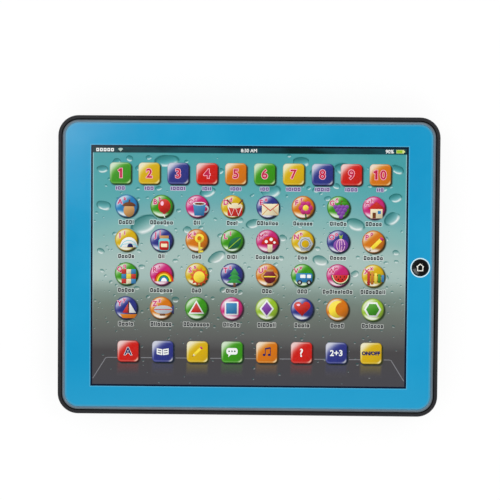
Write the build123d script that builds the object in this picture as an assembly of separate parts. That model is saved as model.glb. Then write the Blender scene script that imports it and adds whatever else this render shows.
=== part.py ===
from build123d import *

import os
from math import cos, hypot, pi, radians, sin, tan

# Kids' toy learning tablet, lying on its back.
#
# +X runs to the right along the long side, +Y to the top edge, +Z out of the face.
# The origin is the middle of the flat back, on the plane that the tablet rests on.
# All sizes are millimetres. Every sub-part is written to parts/ as one STEP file.

# ---------------------------------------------------------------- casing
BODY_LENGTH = 242.0  # X, across the rim
BODY_WIDTH = 190.0  # Y, across the rim
CORNER_RADIUS = 13.0
WALL = 2.2
SIDE_DRAFT = 1.0  # how far each side leans in from under the rim to the back
RIM_BAND = 3.0  # the upright band under the rim's top
BACK_EDGE_RADIUS = 9.0  # the soft edge between side and back
RIM_HEIGHT = 0.7  # the rim stands this much above the printed face
RIM_ROUND = 0.8
RIM_INNER_CHAMFER = 0.3

GUSSET_THICKNESS = 1.2  # small ribs on the side walls that carry the front frame
GUSSET_DEPTH = 1.6
GUSSET_PITCH = 34.0
FLOOR_RIB_THICKNESS = 1.2
FLOOR_RIB_HEIGHT = 3.0
FLOOR_RIB_PAST_DOOR = 22.2  # from the battery door's end to the nearer floor rib
FLOOR_RIB_FROM_SIDE = 43.0  # from the rim's outside to the farther one
FLOOR_RIB_INSET = 16.0  # from the rim's outside to the ends of the floor ribs

# ---------------------------------------------------------------- front frame and printed face
FRAME_SIDE_GAP = 0.6  # dark line between the casing's rim and the frame
FRAME_BAND = 1.7  # the grey band seen round the printed face
FRAME_BAND_FLAT = 0.7  # its level outer part; the rest slopes down to the face
FRAME_DROP = 0.2  # the band's top lies this much under the rim's top
FRAME_ROOF_GAP = 0.2  # between the battery box and the frame's plate
PLATE_THICKNESS = 1.6
FRAME_RIB_THICKNESS = 1.2
FRAME_RIB_HEIGHT = 3.0
FRAME_RIB_FROM_SIDE = (77.0, 51.0)
FRAME_RIB_INSET = 16.0

OVERLAY_THICKNESS = 0.5
OVERLAY_GAP = 0.1
SURROUND_SIDE = 20.2  # from the rim's outside to the printed picture area, left and right
SURROUND_END = 18.6  # the same, top and bottom
SWITCH_MARGIN = 2.4  # how far the switch sheets run past the picture area
SWITCH_GAP = 0.3
SWITCH_CORNER = 2.0
FILM_THICKNESS = 0.2
SPACER_THICKNESS = 0.3

# ---------------------------------------------------------------- keys, as printed on the face
SQUARE_KEY = 14.0
SQUARE_KEY_CORNER = 2.5
PICTURE_KEY = 14.8  # diameter
NUMBER_KEYS = 10
KEY_COLUMNS = 8
PICTURE_ROWS = 4
KEYS_SHIFT = 0.9  # all keys stand this much right of the middle
NUMBER_KEY_MARGIN = 18.45  # from the picture area's sides to the outermost number keys' middles
COLUMN_MARGIN = 22.33  # the same for the columns of picture and mode keys
NUMBER_KEY_DROP = 17.85  # from the picture area's top to the number keys' middles
PICTURE_KEY_DROP = 20.65  # from the number keys to the first row of picture keys
PICTURE_KEY_RISE = 27.8  # from the mode keys to the last row of picture keys
MODE_KEY_RISE = 21.8  # from the picture area's bottom to the mode keys' middles
SPACER_HOLE_MARGIN = 1.6  # the spacer's holes are this much smaller than a key, all round

# ---------------------------------------------------------------- home button
HOME_FROM_EDGE = 11.8  # from the rim's outside to the button's middle
HOME_RADIUS = 5.3
HOME_CLEARANCE = 0.2
HOME_PROUD = 0.3
HOME_DISH = 0.45
HOME_EDGE_ROUND = 0.3
HOME_FLANGE = 1.0  # how far the flange reaches past the cap
HOME_FLANGE_THICKNESS = 1.1
HOME_FLANGE_GAP = 0.1
DOME_BASE_RADIUS = 5.6
DOME_TOP_RADIUS = 2.8
DOME_WEB = 0.5
DOME_BASE_HEIGHT = 0.5
DOME_GAP = 0.05

# ---------------------------------------------------------------- battery box
BATTERY_RADIUS = 7.1
BATTERY_LENGTH = 50.2  # over the positive nub
BATTERY_NUB_RADIUS = 2.7
BATTERY_NUB_LENGTH = 1.3
BATTERY_RIM_STEP = 0.25  # the bare metal rim at each end is this much smaller
BATTERY_RIM_LENGTH = 1.2
BATTERY_COUNT = 3
BATTERY_SPACING = 0.8
BATTERY_GAP = 0.3
CONTACT_THICKNESS = 0.4
CONTACT_WIDTH = 10.5
CONTACT_HALF_HEIGHT = 5.6
CONTACT_POCKET_CLEARANCE = 0.3
CONTACT_TAIL_WIDTH = 3.0
CONTACT_TAIL_REACH = 3.0  # past the outside of the box
CONTACT_SLOT_CLEARANCE = 0.25
SPRING_LENGTH = 4.6  # with a battery in place
SPRING_BASE_RADIUS = 4.4
SPRING_TIP_RADIUS = 2.4
SPRING_WIRE_RADIUS = 0.4
SPRING_TURNS = 3
SPRING_STEPS = 12  # straight runs in each turn
SPRING_WIRE_SIDES = 8
SPRING_END_GAP = 0.05
BOX_WALL = 1.5
BOX_ROOF = 1.0
BOX_X = 0.0
BOX_FROM_BOTTOM = 57.0  # from the rim's bottom edge to the middle of the batteries

# ---------------------------------------------------------------- battery door
DOOR_RECESS = 0.3
DOOR_THICKNESS = 2.2
DOOR_GAP = 0.3
DOOR_SEAT = 2.0  # how far the door laps over the edge of the battery box
DOOR_CORNER = 2.0
DOOR_SCREW_ZONE = 7.6  # the door runs this much further on the screw's side
SEAT_THICKNESS = 1.5
SEAT_ROOT = 1.5
TAB_WIDTH = 9.0
TAB_SPACING = 34.0
TAB_REACH = 2.4
TAB_THICKNESS = 1.3
TAB_CLEARANCE = 0.15
TAB_SWEEP_CLEARANCE = 0.4
TAB_ROOT = 1.4
GRIP_COUNT = 5
GRIP_PITCH = 3.0
GRIP_LENGTH = 22.0
GRIP_WIDTH = 1.2
GRIP_DEPTH = 0.5
GRIP_FROM_SCREW = 10.0  # from the door's screw to the middle of the grip lines
FINGER_SCOOP_RADIUS = 7.0
FINGER_SCOOP_DEPTH = 1.1

DOOR_SCREW_HEAD_RADIUS = 2.4
DOOR_SCREW_HEAD_HEIGHT = 1.0
DOOR_SCREW_CORE_RADIUS = 0.95
DOOR_SCREW_REACH = 3.2  # past the inside of the door
DOOR_SCREW_CLEARANCE = 0.3
DOOR_SCREW_SINK = 0.2  # the head lies this far inside the door's outer face
DOOR_BOSS_RADIUS = 3.2
DOOR_BOSS_HEIGHT = 5.0
DOOR_PILOT_CLEARANCE = 0.4
DRIVE_SLOT_WIDTH = 0.7
DRIVE_SLOT_DEPTH = 0.6
DRIVE_SLOT_SHARE = 0.7  # of a screw's head

# ---------------------------------------------------------------- casing screws
CASING_SCREW_INSET = 15.0  # from the rim's outside to each screw
WELL_DEPTH = 5.0  # from the back to the seat of the screw's head
WELL_RADIUS = 3.1
WELL_WEB = 1.6
WELL_TUBE_WALL = 1.2
PILLAR_RADIUS = 3.0
PILLAR_CLEARANCE = 0.15
PILLAR_SOCKET = 2.0
CASING_SCREW_HEAD_RADIUS = 2.5
CASING_SCREW_HEAD_HEIGHT = 1.8
CASING_SCREW_RADIUS = 1.25
CASING_SCREW_LENGTH = 9.5
SCREW_HOLE_CLEARANCE = 0.3
THREAD_CLEARANCE = 0.05
BORE_BEYOND = 0.6  # a blind hole runs this much past its screw

# ---------------------------------------------------------------- speaker
SPEAKER_X = 0.0
SPEAKER_FROM_TOP = 52.0  # from the rim's top edge to the speaker's middle
SPEAKER_RADIUS = 18.0
SPEAKER_FLANGE = 3.6
SPEAKER_FLANGE_THICKNESS = 1.2
SPEAKER_CONE_HEIGHT = 5.6
SPEAKER_BACK_RADIUS = 9.6
SPEAKER_SHEET = 0.7
SPEAKER_WINDOWS = 4
SPEAKER_WINDOW_WIDTH = 7.0
MAGNET_RADIUS = 8.6
MAGNET_HEIGHT = 4.2
DIAPHRAGM_THICKNESS = 0.3
DIAPHRAGM_DOME_RADIUS = 7.0
DIAPHRAGM_DOME_RISE = 2.0
COIL_THICKNESS = 0.5
COIL_GAP = 0.3
DIAPHRAGM_GAP = 0.05
SPEAKER_RING_WALL = 1.2
SPEAKER_RING_HEIGHT = 3.0
SPEAKER_SIDE_GAP = 0.3
SPEAKER_SCREWS = 3
SPEAKER_SCREW_OFFSET = 3.0  # from the speaker's edge to the screws
SPEAKER_POST_RADIUS = 2.2
SPEAKER_SCREW_RADIUS = 0.9
SPEAKER_WASHER_RADIUS = 3.6
SPEAKER_WASHER_HEIGHT = 1.2
SPEAKER_SCREW_LENGTH = 2.4
STRIP_LENGTH = 8.0
STRIP_WIDTH = 2.4
STRIP_THICKNESS = 0.8
STRIP_GAP = 0.3  # between the strip and the basket's wall
STRIP_LEAD_SPACING = 5.0
GRILLE_HOLE_RADIUS = 1.1
GRILLE_RING_PITCH = 3.5
GRILLE_RINGS = 3

# ---------------------------------------------------------------- circuit board
BOARD_STANDOFF = 3.0
BOARD_THICKNESS = 1.6
BOARD_LENGTH = 31.0  # X
BOARD_WIDTH = 52.0  # Y
BOARD_PAST_HOME = 6.6  # from the home button's middle to the board's right edge
BOARD_Y = -11.0
BOARD_CORNER = 1.0
BOARD_SCREW_INSET = 3.0
BOARD_POST_RADIUS = 2.2
BOARD_SCREW_RADIUS = 0.9
BOARD_SCREW_HEAD_RADIUS = 2.0
BOARD_SCREW_HEAD_HEIGHT = 1.2
BOARD_SCREW_GRIP = 2.0  # how far a screw goes into its post
BOARD_HOLE_CLEARANCE = 0.15
CHIP_RADIUS = 6.5
CHIP_HEIGHT = 1.8
CHIP_PLACE = (-2.0, 12.0)  # this and the places below are from the board's middle
CAPACITOR_RADIUS = 2.5
CAPACITOR_HEIGHT = 7.0
CAPACITOR_PLACES = ((9.0, 13.0), (9.0, 6.0))
TRANSISTOR_RADIUS = 2.3
TRANSISTOR_HEIGHT = 4.6
TRANSISTOR_PLACE = (9.0, -1.0)
RESISTOR_RADIUS = 0.9
RESISTOR_LENGTH = 3.8
RESISTOR_LEAD_RADIUS = 0.3
RESISTOR_LEAD_SPAN = 5.6
RESISTOR_STANDOFF = 0.4
RESISTOR_COUNT = 4
RESISTOR_PITCH = 3.2
RESISTOR_PLACE = (9.0, -7.0)  # the first one

TAIL_WIDTH = 12.0
TAIL_Y = -20.0
TAIL_OUT = 1.7  # from the sheets' edge to the middle of the downward run
TAIL_BEND_RADIUS = 1.0
TAIL_REACH = 15.0  # along the board
TAIL_SLOT_CLEARANCE = 0.5
CLAMP_LENGTH = 20.0  # Y
CLAMP_WIDTH = 4.0
CLAMP_HEIGHT = 1.3
CLAMP_FROM_END = 2.5  # from the tail's end to the clamp's middle
CLAMP_SCREW_SPACING = 16.0
CLAMP_SCREW_RADIUS = 0.8
CLAMP_SCREW_HEAD_RADIUS = 1.6
CLAMP_SCREW_HEAD_HEIGHT = 0.8
CLAMP_SCREW_PAST_BOARD = 1.0

LEAD_RADIUS = 0.6
LEAD_REST = 0.1  # between a lead and what it lies on
LEAD_NOTCH_CLEARANCE = 0.3
LEAD_TO_EDGE = 3.0  # from the board's left edge to the leads' joints
LEAD_JOINTS = {  # from the board's middle, along Y
    "battery_lead_plus": -14.0,
    "battery_lead_minus": -20.0,
    "speaker_lead_1": 13.0,
    "speaker_lead_2": 17.0,
}
LEAD_BEND_SHARE = 0.45

# ---------------------------------------------------------------- levels, from the back upwards
DOOR_INNER_Z = DOOR_RECESS + DOOR_THICKNESS
BATTERY_Z = DOOR_INNER_Z + BATTERY_GAP + BATTERY_RADIUS
ROOF_Z = BATTERY_Z + BATTERY_RADIUS + BATTERY_GAP + BOX_ROOF
PLATE_Z = ROOF_Z + FRAME_ROOF_GAP
SWITCH_Z = PLATE_Z + PLATE_THICKNESS
SPACER_Z = SWITCH_Z + FILM_THICKNESS
TOP_FILM_Z = SPACER_Z + SPACER_THICKNESS
OVERLAY_Z = TOP_FILM_Z + FILM_THICKNESS
FACE_Z = OVERLAY_Z + OVERLAY_THICKNESS
BODY_HEIGHT = FACE_Z + RIM_HEIGHT
BAND_Z = BODY_HEIGHT - FRAME_DROP
BOARD_Z = PLATE_Z - BOARD_STANDOFF  # the board's top
BOARD_UNDER_Z = BOARD_Z - BOARD_THICKNESS
PILLAR_Z = WELL_DEPTH + WELL_WEB
FLANGE_Z = PLATE_Z - HOME_FLANGE_GAP - HOME_FLANGE_THICKNESS  # the underside of the home button
CONTACT_TAIL_Z = BATTERY_Z + CONTACT_HALF_HEIGHT - CONTACT_THICKNESS / 2

# ---------------------------------------------------------------- places that several pieces share
FRAME_INSET = WALL + FRAME_SIDE_GAP
OVERLAY_INSET = FRAME_INSET + FRAME_BAND
FRAME_RIB_X = [BODY_LENGTH / 2 - inset for inset in FRAME_RIB_FROM_SIDE]
SCREEN_LENGTH = BODY_LENGTH - 2 * SURROUND_SIDE
SCREEN_WIDTH = BODY_WIDTH - 2 * SURROUND_END
SWITCH_LENGTH = SCREEN_LENGTH + 2 * SWITCH_MARGIN
SWITCH_WIDTH = SCREEN_WIDTH + 2 * SWITCH_MARGIN

NUMBER_KEY_Y = SCREEN_WIDTH / 2 - NUMBER_KEY_DROP
PICTURE_TOP_Y = NUMBER_KEY_Y - PICTURE_KEY_DROP
MODE_KEY_Y = MODE_KEY_RISE - SCREEN_WIDTH / 2
PICTURE_BOTTOM_Y = MODE_KEY_Y + PICTURE_KEY_RISE
HOME_X = BODY_LENGTH / 2 - HOME_FROM_EDGE
SPEAKER_Y = BODY_WIDTH / 2 - SPEAKER_FROM_TOP
BOX_Y = BOX_FROM_BOTTOM - BODY_WIDTH / 2

BATTERY_PITCH = 2 * BATTERY_RADIUS + BATTERY_SPACING
CELL_RUN = BATTERY_LENGTH + SPRING_LENGTH + 2 * CONTACT_THICKNESS  # inside length of the box
BOX_SPAN = (BATTERY_COUNT - 1) * BATTERY_PITCH + 2 * (BATTERY_RADIUS + BATTERY_GAP)
DOOR_LENGTH = CELL_RUN + 2 * DOOR_SEAT
FLOOR_RIB_X = [
    BOX_X + DOOR_LENGTH / 2 + FLOOR_RIB_PAST_DOOR,
    BODY_LENGTH / 2 - FLOOR_RIB_FROM_SIDE,
]
DOOR_WIDTH = BOX_SPAN + 2 * DOOR_SEAT + DOOR_SCREW_ZONE
DOOR_Y = BOX_Y + DOOR_SCREW_ZONE / 2
DOOR_SCREW_Y = DOOR_Y + DOOR_WIDTH / 2 - (DOOR_SEAT + DOOR_SCREW_ZONE) / 2
DOOR_PIVOT_Y = DOOR_Y - DOOR_WIDTH / 2  # the door tilts about its outer lower edge
TAB_UNDER_Z = DOOR_INNER_Z + TAB_CLEARANCE
TAB_TOP_Z = TAB_UNDER_Z + TAB_THICKNESS
TAB_TIP = DOOR_GAP + TAB_REACH  # from the door's edge to the ends of its tabs
TAB_SWEEP = hypot(TAB_TIP, TAB_TOP_Z - DOOR_RECESS)

BOARD_X = HOME_X + BOARD_PAST_HOME - BOARD_LENGTH / 2
TAIL_X = SWITCH_LENGTH / 2 + TAIL_OUT
TAIL_END_X = TAIL_X - TAIL_REACH
CLAMP_X = TAIL_END_X + CLAMP_FROM_END
SPEAKER_BACK_Z = WALL + SPEAKER_FLANGE_THICKNESS + SPEAKER_CONE_HEIGHT
SPEAKER_POST_Z = WALL + SPEAKER_FLANGE_THICKNESS

SCREW_X = BODY_LENGTH / 2 - CASING_SCREW_INSET
SCREW_Y = BODY_WIDTH / 2 - CASING_SCREW_INSET
CASING_SCREWS = [(x, y) for x in (-SCREW_X, 0.0, SCREW_X) for y in (-SCREW_Y, SCREW_Y)]

FLOOR_LEAD_Z = WALL + LEAD_REST + LEAD_RADIUS
LEAD_END_X = BOARD_X - BOARD_LENGTH / 2 + LEAD_TO_EDGE
CONTACT_TAIL_X = CELL_RUN / 2 + BOX_WALL + CONTACT_TAIL_REACH
FIRST_CELL_Y = BOX_Y - (BATTERY_COUNT - 1) / 2 * BATTERY_PITCH
LAST_CELL_Y = FIRST_CELL_Y + (BATTERY_COUNT - 1) * BATTERY_PITCH
STRIP_X = SPEAKER_X + SPEAKER_RADIUS - SPEAKER_FLANGE + STRIP_GAP + STRIP_WIDTH / 2
STRIP_TOP_Z = SPEAKER_POST_Z + STRIP_THICKNESS

# ---------------------------------------------------------------- helpers


def block(x0, x1, y0, y1, z0, z1):
    """A box between two opposite corners."""
    middle = Pos((x0 + x1) / 2, (y0 + y1) / 2, (z0 + z1) / 2)
    return middle * Box(x1 - x0, y1 - y0, z1 - z0)


def centred_block(x, y, length, width, z0, z1):
    return block(x - length / 2, x + length / 2, y - width / 2, y + width / 2, z0, z1)


def rod(radius, z0, z1, x=0.0, y=0.0):
    """An upright cylinder."""
    return Pos(x, y, (z0 + z1) / 2) * Cylinder(radius, z1 - z0)


def slab(length, width, radius, z0, z1, x=0.0, y=0.0):
    """A level plate with rounded corners."""
    return Pos(x, y, z0) * extrude(RectangleRounded(length, width, radius), z1 - z0)


def inset_outline(inset, z):
    """The casing's outline at the rim, taken in by inset, at height z."""
    outline = RectangleRounded(BODY_LENGTH - 2 * inset, BODY_WIDTH - 2 * inset, CORNER_RADIUS - inset)
    return Pos(0, 0, z) * outline


def inset_slab(inset, z0, z1):
    return extrude(inset_outline(inset, z0), z1 - z0)


def leaning_body(inset, z0, edge_radius):
    """The casing's form taken in by inset, from height z0 to the rim, with a soft lower edge."""
    band_z = BODY_HEIGHT - RIM_BAND
    lean = SIDE_DRAFT * (1 - z0 / band_z)
    body = loft([inset_outline(inset + lean, z0), inset_outline(inset, band_z)])
    body = fillet(body.edges().group_by(Axis.Z)[0], edge_radius)
    return body + inset_slab(inset, band_z, BODY_HEIGHT)


def turned(points, x=0.0, y=0.0):
    """A solid turned about an upright axis from (radius, height) points."""
    profile = make_face(Polyline(*((r, 0, z) for r, z in points), close=True))
    return Pos(x, y, 0) * revolve(profile, Axis.Z)


def screw_down(head_radius, head_height, radius, seat_z, tip_z, x, y):
    """A screw with a slotted head lying below its seat, or above it when its tip is lower."""
    away = -1 if tip_z > seat_z else 1
    head_z = seat_z + away * head_height
    screw = rod(head_radius, min(seat_z, head_z), max(seat_z, head_z), x, y)
    screw += rod(radius, min(seat_z, tip_z), max(seat_z, tip_z), x, y)
    slot_z = head_z - away * DRIVE_SLOT_DEPTH
    length = 2 * head_radius * DRIVE_SLOT_SHARE
    return screw - centred_block(
        x, y, length, DRIVE_SLOT_WIDTH, min(slot_z, head_z + away), max(slot_z, head_z + away)
    )


def spread(count, first, last):
    """Evenly spaced places from first to last."""
    return [first + (last - first) * i / (count - 1) for i in range(count)]


def keys_x(count, margin):
    half = SCREEN_LENGTH / 2 - margin
    return spread(count, KEYS_SHIFT - half, KEYS_SHIFT + half)


# ---------------------------------------------------------------- back casing


def battery_cells():
    """(y, side of the negative end) for each battery: they lie head to tail, in series."""
    return [(FIRST_CELL_Y + i * BATTERY_PITCH, -1 if i % 2 == 0 else 1) for i in range(BATTERY_COUNT)]


def box_cavity():
    """The inside of the battery box: a vault over each battery and a contact pocket at each end."""
    space = centred_block(BOX_X, BOX_Y, CELL_RUN, BOX_SPAN, DOOR_RECESS, BATTERY_Z)
    for y, _ in battery_cells():
        vault = Cylinder(BATTERY_RADIUS + BATTERY_GAP, CELL_RUN, rotation=(0, 90, 0))
        space += Pos(BOX_X, y, BATTERY_Z) * vault
    pocket = CONTACT_THICKNESS + CONTACT_POCKET_CLEARANCE
    top = BATTERY_Z + CONTACT_HALF_HEIGHT + CONTACT_POCKET_CLEARANCE
    for side in (-1, 1):
        x = BOX_X + side * (CELL_RUN - pocket) / 2
        space += centred_block(x, BOX_Y, pocket, BOX_SPAN, DOOR_RECESS, top)
    return space


def contact_slot(side, y):
    """The slit in the box's end wall that a contact's solder tail goes through."""
    half_height = CONTACT_THICKNESS / 2 + CONTACT_SLOT_CLEARANCE
    width = CONTACT_TAIL_WIDTH + 2 * CONTACT_SLOT_CLEARANCE
    x = BOX_X + side * (CELL_RUN + BOX_WALL) / 2
    return centred_block(
        x, y, 2 * BOX_WALL, width, CONTACT_TAIL_Z - half_height, CONTACT_TAIL_Z + half_height
    )


def tab_places():
    return [BOX_X + side * TAB_SPACING / 2 for side in (-1, 1)]


def tab_space(x):
    """The room that one of the door's tabs needs as the door tilts."""
    half = TAB_WIDTH / 2 + TAB_SWEEP_CLEARANCE
    sweep = TAB_SWEEP + TAB_SWEEP_CLEARANCE
    return block(
        x - half,
        x + half,
        DOOR_PIVOT_Y - TAB_TIP - TAB_SWEEP_CLEARANCE,
        DOOR_PIVOT_Y + sweep,
        DOOR_INNER_Z,
        DOOR_RECESS + sweep,
    )


def battery_box():
    """(solid to add, space to cut away) for the battery box and the door's recess."""
    opening = (DOOR_LENGTH + 2 * DOOR_GAP, DOOR_WIDTH + 2 * DOOR_GAP)
    seat_top = DOOR_INNER_Z + SEAT_THICKNESS
    boss_top = seat_top + DOOR_BOSS_HEIGHT
    corner = DOOR_CORNER + DOOR_GAP
    solid = slab(
        opening[0] + 2 * SEAT_ROOT, opening[1] + 2 * SEAT_ROOT, corner + SEAT_ROOT, 0, seat_top,
        BOX_X, DOOR_Y,
    )
    tab_hood_z = DOOR_RECESS + TAB_SWEEP + TAB_SWEEP_CLEARANCE + BOX_ROOF
    for x in tab_places():
        half = TAB_WIDTH / 2 + TAB_SWEEP_CLEARANCE + BOX_ROOF
        front = DOOR_PIVOT_Y - TAB_TIP - TAB_SWEEP_CLEARANCE - BOX_ROOF
        solid += block(x - half, x + half, front, BOX_Y - BOX_SPAN / 2, 0, tab_hood_z)
    box = centred_block(
        BOX_X, BOX_Y, CELL_RUN + 2 * BOX_WALL, BOX_SPAN + 2 * BOX_WALL, DOOR_INNER_Z, ROOF_Z
    )
    solid += fillet(box.edges().filter_by(Axis.Z), BOX_WALL)
    solid += rod(DOOR_BOSS_RADIUS, DOOR_INNER_Z, boss_top, BOX_X, DOOR_SCREW_Y)

    space = box_cavity()
    space += slab(*opening, corner, -1, DOOR_INNER_Z, BOX_X, DOOR_Y)
    pilot_top = DOOR_INNER_Z + DOOR_SCREW_REACH + BORE_BEYOND
    pilot = DOOR_SCREW_CORE_RADIUS + DOOR_PILOT_CLEARANCE
    space += rod(pilot, DOOR_RECESS, pilot_top, BOX_X, DOOR_SCREW_Y)
    for x in tab_places():
        space += tab_space(x)
    space += contact_slot(-1, FIRST_CELL_Y)
    space += contact_slot(-battery_cells()[-1][1], LAST_CELL_Y)
    return solid, space


def gussets():
    """Small ribs on the inside of the side walls, level with the underside of the front frame."""
    outer = inset_slab(WALL / 2, 0, PLATE_Z)
    ring = outer - inset_slab(WALL + SIDE_DRAFT + GUSSET_DEPTH, 0, PLATE_Z)
    count_x = int((BODY_LENGTH / 2 - CORNER_RADIUS) // GUSSET_PITCH)
    count_y = int((BODY_WIDTH / 2 - CORNER_RADIUS) // GUSSET_PITCH)
    teeth = [
        centred_block(i * GUSSET_PITCH, 0, GUSSET_THICKNESS, BODY_WIDTH, 0, PLATE_Z)
        for i in range(-count_x, count_x + 1)
    ]
    teeth += [
        centred_block(0, i * GUSSET_PITCH, BODY_LENGTH, GUSSET_THICKNESS, 0, PLATE_Z)
        for i in range(-count_y, count_y + 1)
    ]
    comb = teeth[0].fuse(*teeth[1:])
    return ring & comb & leaning_body(WALL / 2, WALL / 2, BACK_EDGE_RADIUS - WALL / 2)


def grille_holes():
    """Rings of round holes under the speaker."""
    places = [(0.0, 0.0)]
    for ring in range(1, GRILLE_RINGS + 1):
        count = 6 * ring
        radius = ring * GRILLE_RING_PITCH
        places += [(radius * cos(2 * pi * i / count), radius * sin(2 * pi * i / count)) for i in range(count)]
    return [rod(GRILLE_HOLE_RADIUS, -1, WALL + 1, SPEAKER_X + x, SPEAKER_Y + y) for x, y in places]


def speaker_screw_places():
    radius = SPEAKER_RADIUS + SPEAKER_SCREW_OFFSET
    angles = [2 * pi * i / SPEAKER_SCREWS + pi / 2 for i in range(SPEAKER_SCREWS)]
    return [(SPEAKER_X + radius * cos(a), SPEAKER_Y + radius * sin(a)) for a in angles]


def speaker_seat():
    """The ring that the speaker drops into, and a post for each of its screws."""
    inner = SPEAKER_RADIUS + SPEAKER_SIDE_GAP
    top = WALL + SPEAKER_RING_HEIGHT
    seat = rod(inner + SPEAKER_RING_WALL, WALL / 2, top, SPEAKER_X, SPEAKER_Y)
    for x, y in speaker_screw_places():
        seat -= rod(SPEAKER_WASHER_RADIUS + SPEAKER_SIDE_GAP, SPEAKER_POST_Z, top + 1, x, y)
        seat += rod(SPEAKER_POST_RADIUS, WALL / 2, SPEAKER_POST_Z, x, y)
    seat -= rod(inner, WALL, top + 1, SPEAKER_X, SPEAKER_Y)
    return seat


def back_shell():
    outer = leaning_body(0, 0, BACK_EDGE_RADIUS)
    outer = fillet(outer.edges().group_by(Axis.Z)[-1], RIM_ROUND)
    cavity = leaning_body(WALL, WALL, BACK_EDGE_RADIUS - WALL)
    flare_z = BODY_HEIGHT - RIM_INNER_CHAMFER
    cavity += loft([inset_outline(WALL, flare_z), inset_outline(WALL - RIM_INNER_CHAMFER, BODY_HEIGHT)])
    shell = outer - cavity
    shell += gussets()
    rib_width = BODY_WIDTH - 2 * FLOOR_RIB_INSET
    rib_top = WALL + FLOOR_RIB_HEIGHT
    for x in FLOOR_RIB_X:
        for side in (-1, 1):
            shell += centred_block(side * x, 0, FLOOR_RIB_THICKNESS, rib_width, WALL / 2, rib_top)
    for x, y in CASING_SCREWS:
        shell += rod(WELL_RADIUS + WELL_TUBE_WALL, WALL / 2, PILLAR_Z + PILLAR_SOCKET, x, y)
    shell += speaker_seat()
    box, box_space = battery_box()
    shell = shell + box - box_space
    for x, y in CASING_SCREWS:
        shell -= rod(WELL_RADIUS, -1, WELL_DEPTH, x, y)
        shell -= rod(CASING_SCREW_RADIUS + SCREW_HOLE_CLEARANCE, 0, PILLAR_Z + 1, x, y)
        shell -= rod(PILLAR_RADIUS + PILLAR_CLEARANCE, PILLAR_Z, PILLAR_Z + PILLAR_SOCKET + 1, x, y)
    pilot = SPEAKER_SCREW_RADIUS + THREAD_CLEARANCE
    for x, y in speaker_screw_places():
        shell -= rod(pilot, SPEAKER_POST_Z - SPEAKER_SCREW_LENGTH - BORE_BEYOND / 2, SPEAKER_POST_Z + 1, x, y)
    shell -= grille_holes()
    shell -= lead_notches()
    return shell - finger_scoop()


def finger_scoop():
    """A shallow dish in the back beside the door's screw end, to lift the door by."""
    sphere_radius = (FINGER_SCOOP_RADIUS**2 + FINGER_SCOOP_DEPTH**2) / (2 * FINGER_SCOOP_DEPTH)
    y = DOOR_Y + DOOR_WIDTH / 2 + DOOR_GAP
    return Pos(BOX_X, y, FINGER_SCOOP_DEPTH - sphere_radius) * Sphere(sphere_radius)


# ---------------------------------------------------------------- front frame, printed face, switch sheets


def front_frame():
    frame = inset_slab(FRAME_INSET, PLATE_Z, BAND_Z)
    frame -= inset_slab(OVERLAY_INSET, OVERLAY_Z, BAND_Z + 1)
    slope = FRAME_BAND - FRAME_BAND_FLAT
    frame -= loft([inset_outline(OVERLAY_INSET, FACE_Z), inset_outline(OVERLAY_INSET - slope, BAND_Z)])
    pocket = (SWITCH_LENGTH + 2 * SWITCH_GAP, SWITCH_WIDTH + 2 * SWITCH_GAP)
    frame -= slab(*pocket, SWITCH_CORNER, SWITCH_Z, OVERLAY_Z + 1)
    frame -= block(
        SWITCH_LENGTH / 2 - TAIL_BEND_RADIUS,
        TAIL_X + FILM_THICKNESS / 2 + TAIL_SLOT_CLEARANCE,
        TAIL_Y - TAIL_WIDTH / 2 - TAIL_SLOT_CLEARANCE,
        TAIL_Y + TAIL_WIDTH / 2 + TAIL_SLOT_CLEARANCE,
        PLATE_Z - 1,
        OVERLAY_Z + 1,
    )
    rib_width = BODY_WIDTH - 2 * FRAME_RIB_INSET
    for x in FRAME_RIB_X:
        for side in (-1, 1):
            frame += centred_block(
                side * x, 0, FRAME_RIB_THICKNESS, rib_width, PLATE_Z - FRAME_RIB_HEIGHT, PLATE_Z
            )
    bore = CASING_SCREW_RADIUS + THREAD_CLEARANCE
    bore_top = WELL_DEPTH + CASING_SCREW_LENGTH + BORE_BEYOND
    for x, y in CASING_SCREWS:
        frame += rod(PILLAR_RADIUS, PILLAR_Z, PLATE_Z, x, y) - rod(bore, PILLAR_Z, bore_top, x, y)
    bore = BOARD_SCREW_RADIUS + THREAD_CLEARANCE
    bore_top = BOARD_Z + BOARD_SCREW_GRIP + BORE_BEYOND
    for x, y in board_screw_places():
        frame += rod(BOARD_POST_RADIUS, BOARD_Z, PLATE_Z, x, y) - rod(bore, BOARD_Z, bore_top, x, y)
    return frame - rod(HOME_RADIUS + HOME_CLEARANCE, PLATE_Z - 1, OVERLAY_Z + 1, HOME_X)


def face_overlay():
    sheet = inset_slab(OVERLAY_INSET + OVERLAY_GAP, OVERLAY_Z, FACE_Z)
    return sheet - rod(HOME_RADIUS + HOME_CLEARANCE, OVERLAY_Z - 1, FACE_Z + 1, HOME_X)


def switch_sheet(z0, z1):
    return slab(SWITCH_LENGTH, SWITCH_WIDTH, SWITCH_CORNER, z0, z1)


def spacer_film():
    """The sheet that keeps the two circuit sheets apart, with a hole under every key."""
    square = SQUARE_KEY - 2 * SPACER_HOLE_MARGIN
    depth = SPACER_THICKNESS + 2
    z = SPACER_Z - 1
    columns = keys_x(KEY_COLUMNS, COLUMN_MARGIN)
    square_places = [(x, NUMBER_KEY_Y) for x in keys_x(NUMBER_KEYS, NUMBER_KEY_MARGIN)]
    square_places += [(x, MODE_KEY_Y) for x in columns]
    holes = [
        Pos(x, y, z) * extrude(RectangleRounded(square, square, SQUARE_KEY_CORNER), depth)
        for x, y in square_places
    ]
    for y in spread(PICTURE_ROWS, PICTURE_TOP_Y, PICTURE_BOTTOM_Y):
        holes += [rod(PICTURE_KEY / 2 - SPACER_HOLE_MARGIN, z, z + depth, x, y) for x in columns]
    return switch_sheet(SPACER_Z, TOP_FILM_Z) - holes


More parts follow.
